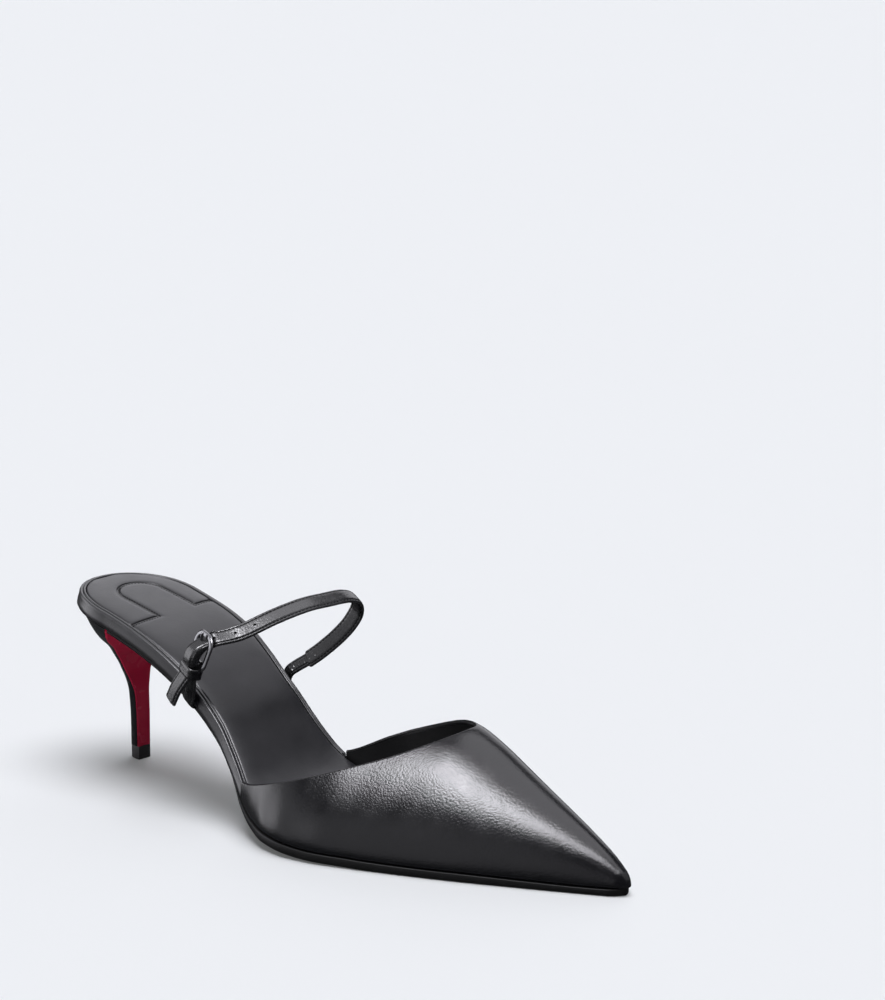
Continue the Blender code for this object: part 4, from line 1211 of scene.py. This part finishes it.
def strap_lines():
    """Fine line of the long strap and of its gathered foot, which starts a little under the strap's end."""
    step = next(i for i, row in enumerate(STRAP_ROWS) if row[5] < 1.0)
    whole = even_line([row[:5] + (1.0,) for row in STRAP_ROWS])
    marker = strap_place(*STRAP_ROWS[step][:3])
    cut = int(np.argmin([(Vector(p[:3]) - marker).length for p in whole]))
    foot = whole[cut - FOOT_OVERLAP:].copy()
    foot[:, 5] = STRAP_ROWS[step][5]
    return whole[:cut + 1], foot


def gathers(at, u):
    """Small crosswise wrinkles of the gathered foot."""
    first = math.sin(at / (0.62 * MM) * math.pi + 1.3 * math.sin(3.1 * u))
    second = math.sin(at / (0.41 * MM) * math.pi + 2.0 + 2.1 * math.sin(2.3 * u + at / (4.0 * MM)))
    return GATHER_DEPTH * first + GATHER_DEPTH * second


def make_strap(mat, line):
    """The long strap, padded between its two rows of stitches, with punched holes."""
    obj = ribbon("strap_leather", mat, line, STRAP_THICK, None, 0.5 * MM, 1.2 * MM, bulge)
    punch_holes(obj, line)
    return settle(obj, ("strap",))


def punch_holes(obj, line):
    """Punch the row of holes that the buckle's tongue can use."""
    frames = strap_frames(line)
    length = distances(line)
    radius = HOLE_WIDTH / 2.0
    for k in range(HOLES):
        centre, wide, deep, tangent = frames[int(np.searchsorted(length, FIRST_HOLE + k * HOLE_SPACING))]
        turn = deep.to_track_quat("Z", "Y").to_matrix().to_4x4()
        bm = bmesh.new()
        bmesh.ops.create_cone(bm, cap_ends=True, segments=20, radius1=radius, radius2=radius,
                              depth=4.0 * STRAP_THICK)
        bmesh.ops.transform(bm, matrix=turn, verts=bm.verts)
        bmesh.ops.translate(bm, vec=centre + SHIFT, verts=bm.verts)
        mesh = bpy.data.meshes.new("punch")
        bm.to_mesh(mesh)
        bm.free()
        punch = add_object("punch", mesh)
        cut = obj.modifiers.new("Punch", "BOOLEAN")
        cut.operation = "DIFFERENCE"
        cut.solver = "EXACT"
        cut.object = punch
        bake_modifiers(obj)
        bpy.data.objects.remove(punch, do_unlink=True)


def bake_modifiers(obj):
    """Keep what the modifiers make and drop the modifiers."""
    bpy.context.view_layer.update()
    graph = bpy.context.evaluated_depsgraph_get()
    mesh = bpy.data.meshes.new_from_object(obj.evaluated_get(graph))
    obj.modifiers.clear()
    obj.data = mesh


def make_gathered_foot(mat, line):
    """Narrow elastic foot of the strap on the inner side, covered in gathered leather."""
    obj = ribbon("strap_gathered_foot", mat, line, STRAP_THICK * 0.95, gathers)
    return settle(obj, ())


def make_strap_base(mat, line):
    """Short strap that holds the buckle."""
    return settle(ribbon("strap_base_leather", mat, line, BASE_THICK), ("strap_base",))


def buckle_axes():
    """Foot of the buckle, its long direction, its width direction and its outward face direction."""
    foot = strap_place(*BUCKLE_FOOT)
    head = strap_place(*BUCKLE_HEAD)
    long = (head - foot).normalized()
    wide, face = axes_at(long, BUCKLE_LEAN, BUCKLE_TURN)
    if face.y > 0.0:
        face = -face
    return foot, long, wide, face


def tube(name, points, radius, mat, closed, flat, flat_axis):
    """Flattened wire through points."""
    points = [Vector(p) for p in points]
    count = len(points)
    rings = []
    for i, p in enumerate(points):
        before = points[(i - 1) % count] if closed else points[max(i - 1, 0)]
        after = points[(i + 1) % count] if closed else points[min(i + 1, count - 1)]
        tangent = (after - before).normalized()
        side = tangent.cross(flat_axis).normalized()
        up = side.cross(tangent).normalized()
        end = 0.55 if not closed and i in (0, count - 1) else 1.0
        ring = []
        for turn in np.linspace(0.0, 2.0 * math.pi, TUBE_TURNS + 1)[:-1]:
            aside = side * (math.cos(turn) * radius * end)
            ring.append(tuple(p + aside + up * (math.sin(turn) * radius * flat * end)))
        rings.append(ring)
    bm = bmesh.new()
    if closed:
        skin(bm, rings + [rings[0]])
    else:
        close_ends(bm, skin(bm, rings))
    return finish_mesh(name, bm, (mat,), math.radians(60.0))


def make_buckle(metal):
    """Frame of the buckle, round at its head."""
    foot, long, wide, face = buckle_axes()
    half = STRAP_WIDTH / 2.0 + FRAME_SIDE_ROOM + BUCKLE_WIRE / 2.0
    length = BUCKLE_LENGTH - BUCKLE_WIRE
    points = []
    for sign_u, sign_v, start in ((1, 1, 0.0), (-1, 1, 0.5), (-1, -1, 1.0), (1, -1, 1.5)):
        corner = BUCKLE_HEAD_ROUND if sign_v > 0 else BUCKLE_FOOT_ROUND
        middle_u = sign_u * (half - corner)
        middle_v = length - corner if sign_v > 0 else corner
        for k in range(CORNER_POINTS + 1):
            turn = math.pi * (start + 0.5 * k / CORNER_POINTS)
            u = middle_u + corner * math.cos(turn)
            v = middle_v + corner * math.sin(turn)
            points.append(foot + wide * u + long * v)
    obj = tube("buckle_frame", points, FRAME_WIRE / 2.0, metal, True, FRAME_FLAT, face)
    return settle(obj, ("buckle",))


def make_fold(mat):
    """Leather of the short strap where it is folded round the buckle's foot bar."""
    foot, long, wide, face = buckle_axes()
    shares = (-1.0, -0.97, -0.85, -0.4, 0.0, 0.4, 0.85, 0.97, 1.0)
    points = [foot + wide * (FOLD_HALF * share) for share in shares]
    obj = tube("buckle_fold", points, BUCKLE_WIRE / 2.0 + BASE_THICK, mat, False, FOLD_FLAT, face)
    return settle(obj, ())


def make_prong(metal):
    """Tongue of the buckle, through its hole and over the head bar."""
    foot, long, wide, face = buckle_axes()
    clear = BUCKLE_WIRE / 2.0 + PRONG_WIRE / 2.0 + GAP
    length = BUCKLE_LENGTH - BUCKLE_WIRE
    along = (clear, 0.3 * length, 0.5 * length, length - 1.5 * clear, length - 0.3 * clear,
             length + 0.5 * clear)
    outward = (0.0, 0.0, 0.0, 0.6 * clear, clear, 1.1 * clear)
    at = np.linspace(0.0, len(along) - 1.0, PRONG_POINTS)
    pairs = zip(smooth_curve(range(len(along)), along, at), smooth_curve(range(len(along)), outward, at))
    points = [foot + long * float(v) + face * float(w) for v, w in pairs]
    obj = tube("buckle_tongue", points, PRONG_WIRE / 2.0, metal, False, PRONG_FLAT, wide)
    return settle(obj, ("prong",))


def below_buckle(line, below):
    """Point and direction of a strap line at a distance below the buckle's foot bar."""
    foot, long, wide, face = buckle_axes()
    for row, following in zip(line, line[1:]):
        start = Vector(row[:3])
        end = Vector(following[:3])
        near = (start - foot).dot(long) + below
        far = (end - foot).dot(long) + below
        if near <= 0.0 < far:
            return start.lerp(end, near / (near - far)), (end - start).normalized()
    return Vector(line[-1][:3]), long


def squared(value):
    """Push a sine or cosine outwards, so that a circle gets rounded corners."""
    return math.copysign(abs(value) ** KEEPER_SQUARE, value)


def make_keeper(mat, tail_line, base_line):
    """Leather loop round the tail and the short strap, its edges rounded."""
    tail, tail_way = below_buckle(tail_line, KEEPER_BELOW_FOOT)
    base, base_way = below_buckle(base_line, KEEPER_BELOW_FOOT)
    foot, long, buckle_wide, face = buckle_axes()
    along = (tail_way + base_way).normalized()
    wide = (buckle_wide - buckle_wide.dot(along) * along).normalized()
    deep = along.cross(wide).normalized()
    centre = (tail + base) / 2.0
    half_wide = STRAP_WIDTH / 2.0 + abs((tail - base).dot(wide)) / 2.0 + KEEPER_ROOM
    half_deep = abs((tail - base).dot(deep)) / 2.0 + max(STRAP_THICK, BASE_THICK) / 2.0 + KEEPER_ROOM
    rings = []
    for turn in np.linspace(0.0, 2.0 * math.pi, KEEPER_TURNS + 1)[:-1]:
        ring = []
        for cover, up in KEEPER_BAND:
            side = wide * (squared(math.cos(turn)) * (half_wide + cover * KEEPER_THICK))
            front = deep * (squared(math.sin(turn)) * (half_deep + cover * KEEPER_THICK))
            ring.append(tuple(centre + side + front + along * (up * KEEPER_HEIGHT)))
        rings.append(ring)
    bm = bmesh.new()
    skin(bm, rings + [rings[0]])
    return settle(finish_mesh("keeper_loop", bm, (mat,)), ("keeper",))


def stitch_tree():
    """Geometry Nodes tree that lays stitches end to end along a line."""
    tree = bpy.data.node_groups.new("Stitches along a line", "GeometryNodeTree")
    face = tree.interface
    kinds = {"Line": "Geometry", "Pitch": "Float", "Length": "Float", "Thread": "Float", "Finish": "Material"}
    sockets = {}
    for name, kind in kinds.items():
        sockets[name] = face.new_socket(name, in_out="INPUT", socket_type="NodeSocket" + kind).identifier
    face.new_socket("Stitches", in_out="OUTPUT", socket_type="NodeSocketGeometry")
    given = tree.nodes.new("NodeGroupInput").outputs
    curve = add_node(tree, "GeometryNodeMeshToCurve", {"Mesh": given["Line"]}, "Curve")
    steps = {"Curve": curve, "Length": given["Pitch"]}
    even = add_node(tree, "GeometryNodeResampleCurve", steps, "Curve", mode="LENGTH")
    way = {"Vector": add_node(tree, "GeometryNodeInputTangent", {}, "Tangent")}
    turn = add_node(tree, "FunctionNodeAlignRotationToVector", way, "Rotation", axis="X")
    ball = add_node(tree, "GeometryNodeMeshUVSphere", {"Segments": 8, "Rings": 6, "Radius": 1.0}, "Mesh")
    halves = [maths(tree, "MULTIPLY", given[name], 0.5) for name in ("Length", "Thread", "Thread")]
    size = add_node(tree, "ShaderNodeCombineXYZ", dict(enumerate(halves)), "Vector")
    laid = {"Points": even, "Instance": ball, "Rotation": turn, "Scale": size}
    stitches = add_node(tree, "GeometryNodeInstanceOnPoints", laid, "Instances")
    real = add_node(tree, "GeometryNodeRealizeInstances", {"Geometry": stitches}, "Geometry")
    dyed = {"Geometry": real, "Material": given["Finish"]}
    finish = add_node(tree, "GeometryNodeSetMaterial", dyed, "Geometry")
    fill(tree, tree.nodes.new("NodeGroupOutput"), {"Stitches": finish})
    return tree, sockets


def sew(name, lines, tree, sockets, mat, stitch):
    """Rows of stitches along lines of points."""
    verts = []
    edges = []
    for line in lines:
        first = len(verts)
        verts += [tuple(Vector(p) + SHIFT) for p in line]
        edges += [(first + i, first + i + 1) for i in range(len(line) - 1)]
    mesh = bpy.data.meshes.new(name)
    mesh.from_pydata(verts, edges, [])
    obj = add_object(name, mesh)
    length, gap, thread = stitch
    modifier = obj.modifiers.new("Sew", "NODES")
    modifier.node_group = tree
    modifier[sockets["Pitch"]] = length + gap
    modifier[sockets["Length"]] = length
    modifier[sockets["Thread"]] = thread
    modifier[sockets["Finish"]] = mat
    bake_modifiers(obj)
    obj.data.shade_smooth()
    return settle(obj, ())


def strap_seams(line):
    """Lines of the seams along both edges, on both faces of the long strap."""
    half = STRAP_WIDTH / 2.0
    margin = EDGE_MARGIN / half
    lift = STRAP_THICK / 2.0 * puffy(1.0 - margin, margin) + STITCH_OUT
    frames = strap_frames(line)[SEAM_SKIP:-SEAM_SKIP]
    seams = []
    for side in (-1.0, 1.0):
        aside = side * (1.0 - margin) * half
        for out in (lift, -lift):
            seams.append([centre + wide * aside + deep * out for centre, wide, deep, tangent in frames])
    return seams


def tongue_seam():
    """Line of the seam round the sock's tongue, on the sock's surface."""
    seam = []
    for x, y in tongue_path(SEAM_STEP, STITCH_ASIDE):
        outer, inner = outline(x, SOCK_RING)
        if outer + SEAM_END < y < inner - SEAM_END:
            edge = min(y - outer, inner - y)
            seam.append((x, y, float(footbed_top(x, y)) + float(sock_height(x, y, edge)) - STITCH_IN))
    return seam


def make_floor():
    """Pale floor that runs out of the view; the dark leather doesn't mirror it."""
    bm = bmesh.new()
    bmesh.ops.create_grid(bm, x_segments=2, y_segments=2, size=12.0)
    obj = finish_mesh("floor", bm, (floor_finish("floor_paper"),), shift=Vector((0.0, 0.0, 0.0)))
    obj.visible_glossy = False
    return obj


def pointing(compass, height):
    """Direction towards a compass angle and a height above the floor, in degrees."""
    around = math.radians(compass)
    above = math.radians(height)
    return Vector((math.cos(around) * math.cos(above), math.sin(around) * math.cos(above), math.sin(above)))


def make_light():
    """Dim room and broad lamps."""
    world = bpy.data.worlds.new("room")
    world.use_nodes = True
    room = {"Color": ROOM_COLOUR, "Strength": ROOM_STRENGTH}
    fill(world.node_tree, world.node_tree.nodes["Background"], room)
    bpy.context.scene.world = world
    for name, compass, height, brightness, width, lights_floor, shines in LAMPS:
        lamp = bpy.data.lights.new(name, "SUN")
        lamp.angle = math.radians(width)
        lamp.color = LAMP_COLOUR
        lamp.energy = brightness * math.pi * math.sin(lamp.angle / 2.0) ** 2
        obj = add_object(name, lamp)
        obj.rotation_euler = pointing(compass, height).to_track_quat("Z", "Y").to_euler()
        obj.visible_diffuse = lights_floor
        obj.visible_glossy = shines


def make_camera():
    """Camera at the photograph's angle, its lens and place from the fitted values."""
    azimuth = math.radians(CAMERA_AZIMUTH)
    right = Vector((math.cos(azimuth), math.sin(azimuth), 0.0))
    back = pointing(CAMERA_AZIMUTH - 90.0, CAMERA_ELEVATION)
    up = back.cross(right)
    pixel = CAMERA_DEPTH / CAMERA_FOCAL_PIXELS
    across = (HEEL_POINT_PIXEL[0] - FRAME_WIDTH_PIXELS / 2.0) * pixel
    down = (HEEL_POINT_PIXEL[1] - FRAME_HEIGHT_PIXELS / 2.0) * pixel
    data = bpy.data.cameras.new("camera")
    data.sensor_fit = "HORIZONTAL"
    data.sensor_width = SENSOR
    data.lens = CAMERA_FOCAL_PIXELS * SENSOR / FRAME_WIDTH_PIXELS
    data.clip_start = 0.1
    data.clip_end = 60.0
    data.dof.use_dof = False
    obj = add_object("camera", data)
    obj.location = SHIFT + back * CAMERA_DEPTH - right * across + up * down
    obj.rotation_euler = back.to_track_quat("Z", "Y").to_euler()
    bpy.context.scene.camera = obj


def main():
    """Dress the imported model."""
    hides = {row[0]: leather(*row) for row in LEATHERS}
    black = hides["black_nappa"]
    strap_skin = hides["strap_grain"]
    metal = gunmetal("gunmetal")
    thread = thread_finish("black_thread", (0.002, 0.002, 0.002), (0.007, 0.007, 0.008))

    make_vamp(black, hides["vamp_lining"])
    make_outsole(hides["sole_edge_dye"])
    make_footbed(hides["wrap_leather"])
    make_sock(hides["sock_leather"])
    make_heel(black)
    make_breast(red_cover("breast_red"))
    make_top_piece(rubber("tip_rubber"))

    strap_line, foot_line = strap_lines()
    base_line = even_line(BASE_ROWS)
    make_strap(strap_skin, strap_line)
    make_gathered_foot(strap_skin, foot_line)
    make_strap_base(strap_skin, base_line)
    make_keeper(strap_skin, strap_line, base_line)
    make_buckle(metal)
    make_fold(strap_skin)
    make_prong(metal)

    tree, sockets = stitch_tree()
    sew("strap_stitches", strap_seams(strap_line), tree, sockets, thread, STRAP_STITCH)
    sew("sock_stitches", [tongue_seam()], tree, sockets, thread, SOCK_STITCH)

    make_floor()
    make_light()
    make_camera()
    bpy.context.scene.view_settings.view_transform = "Standard"


main()
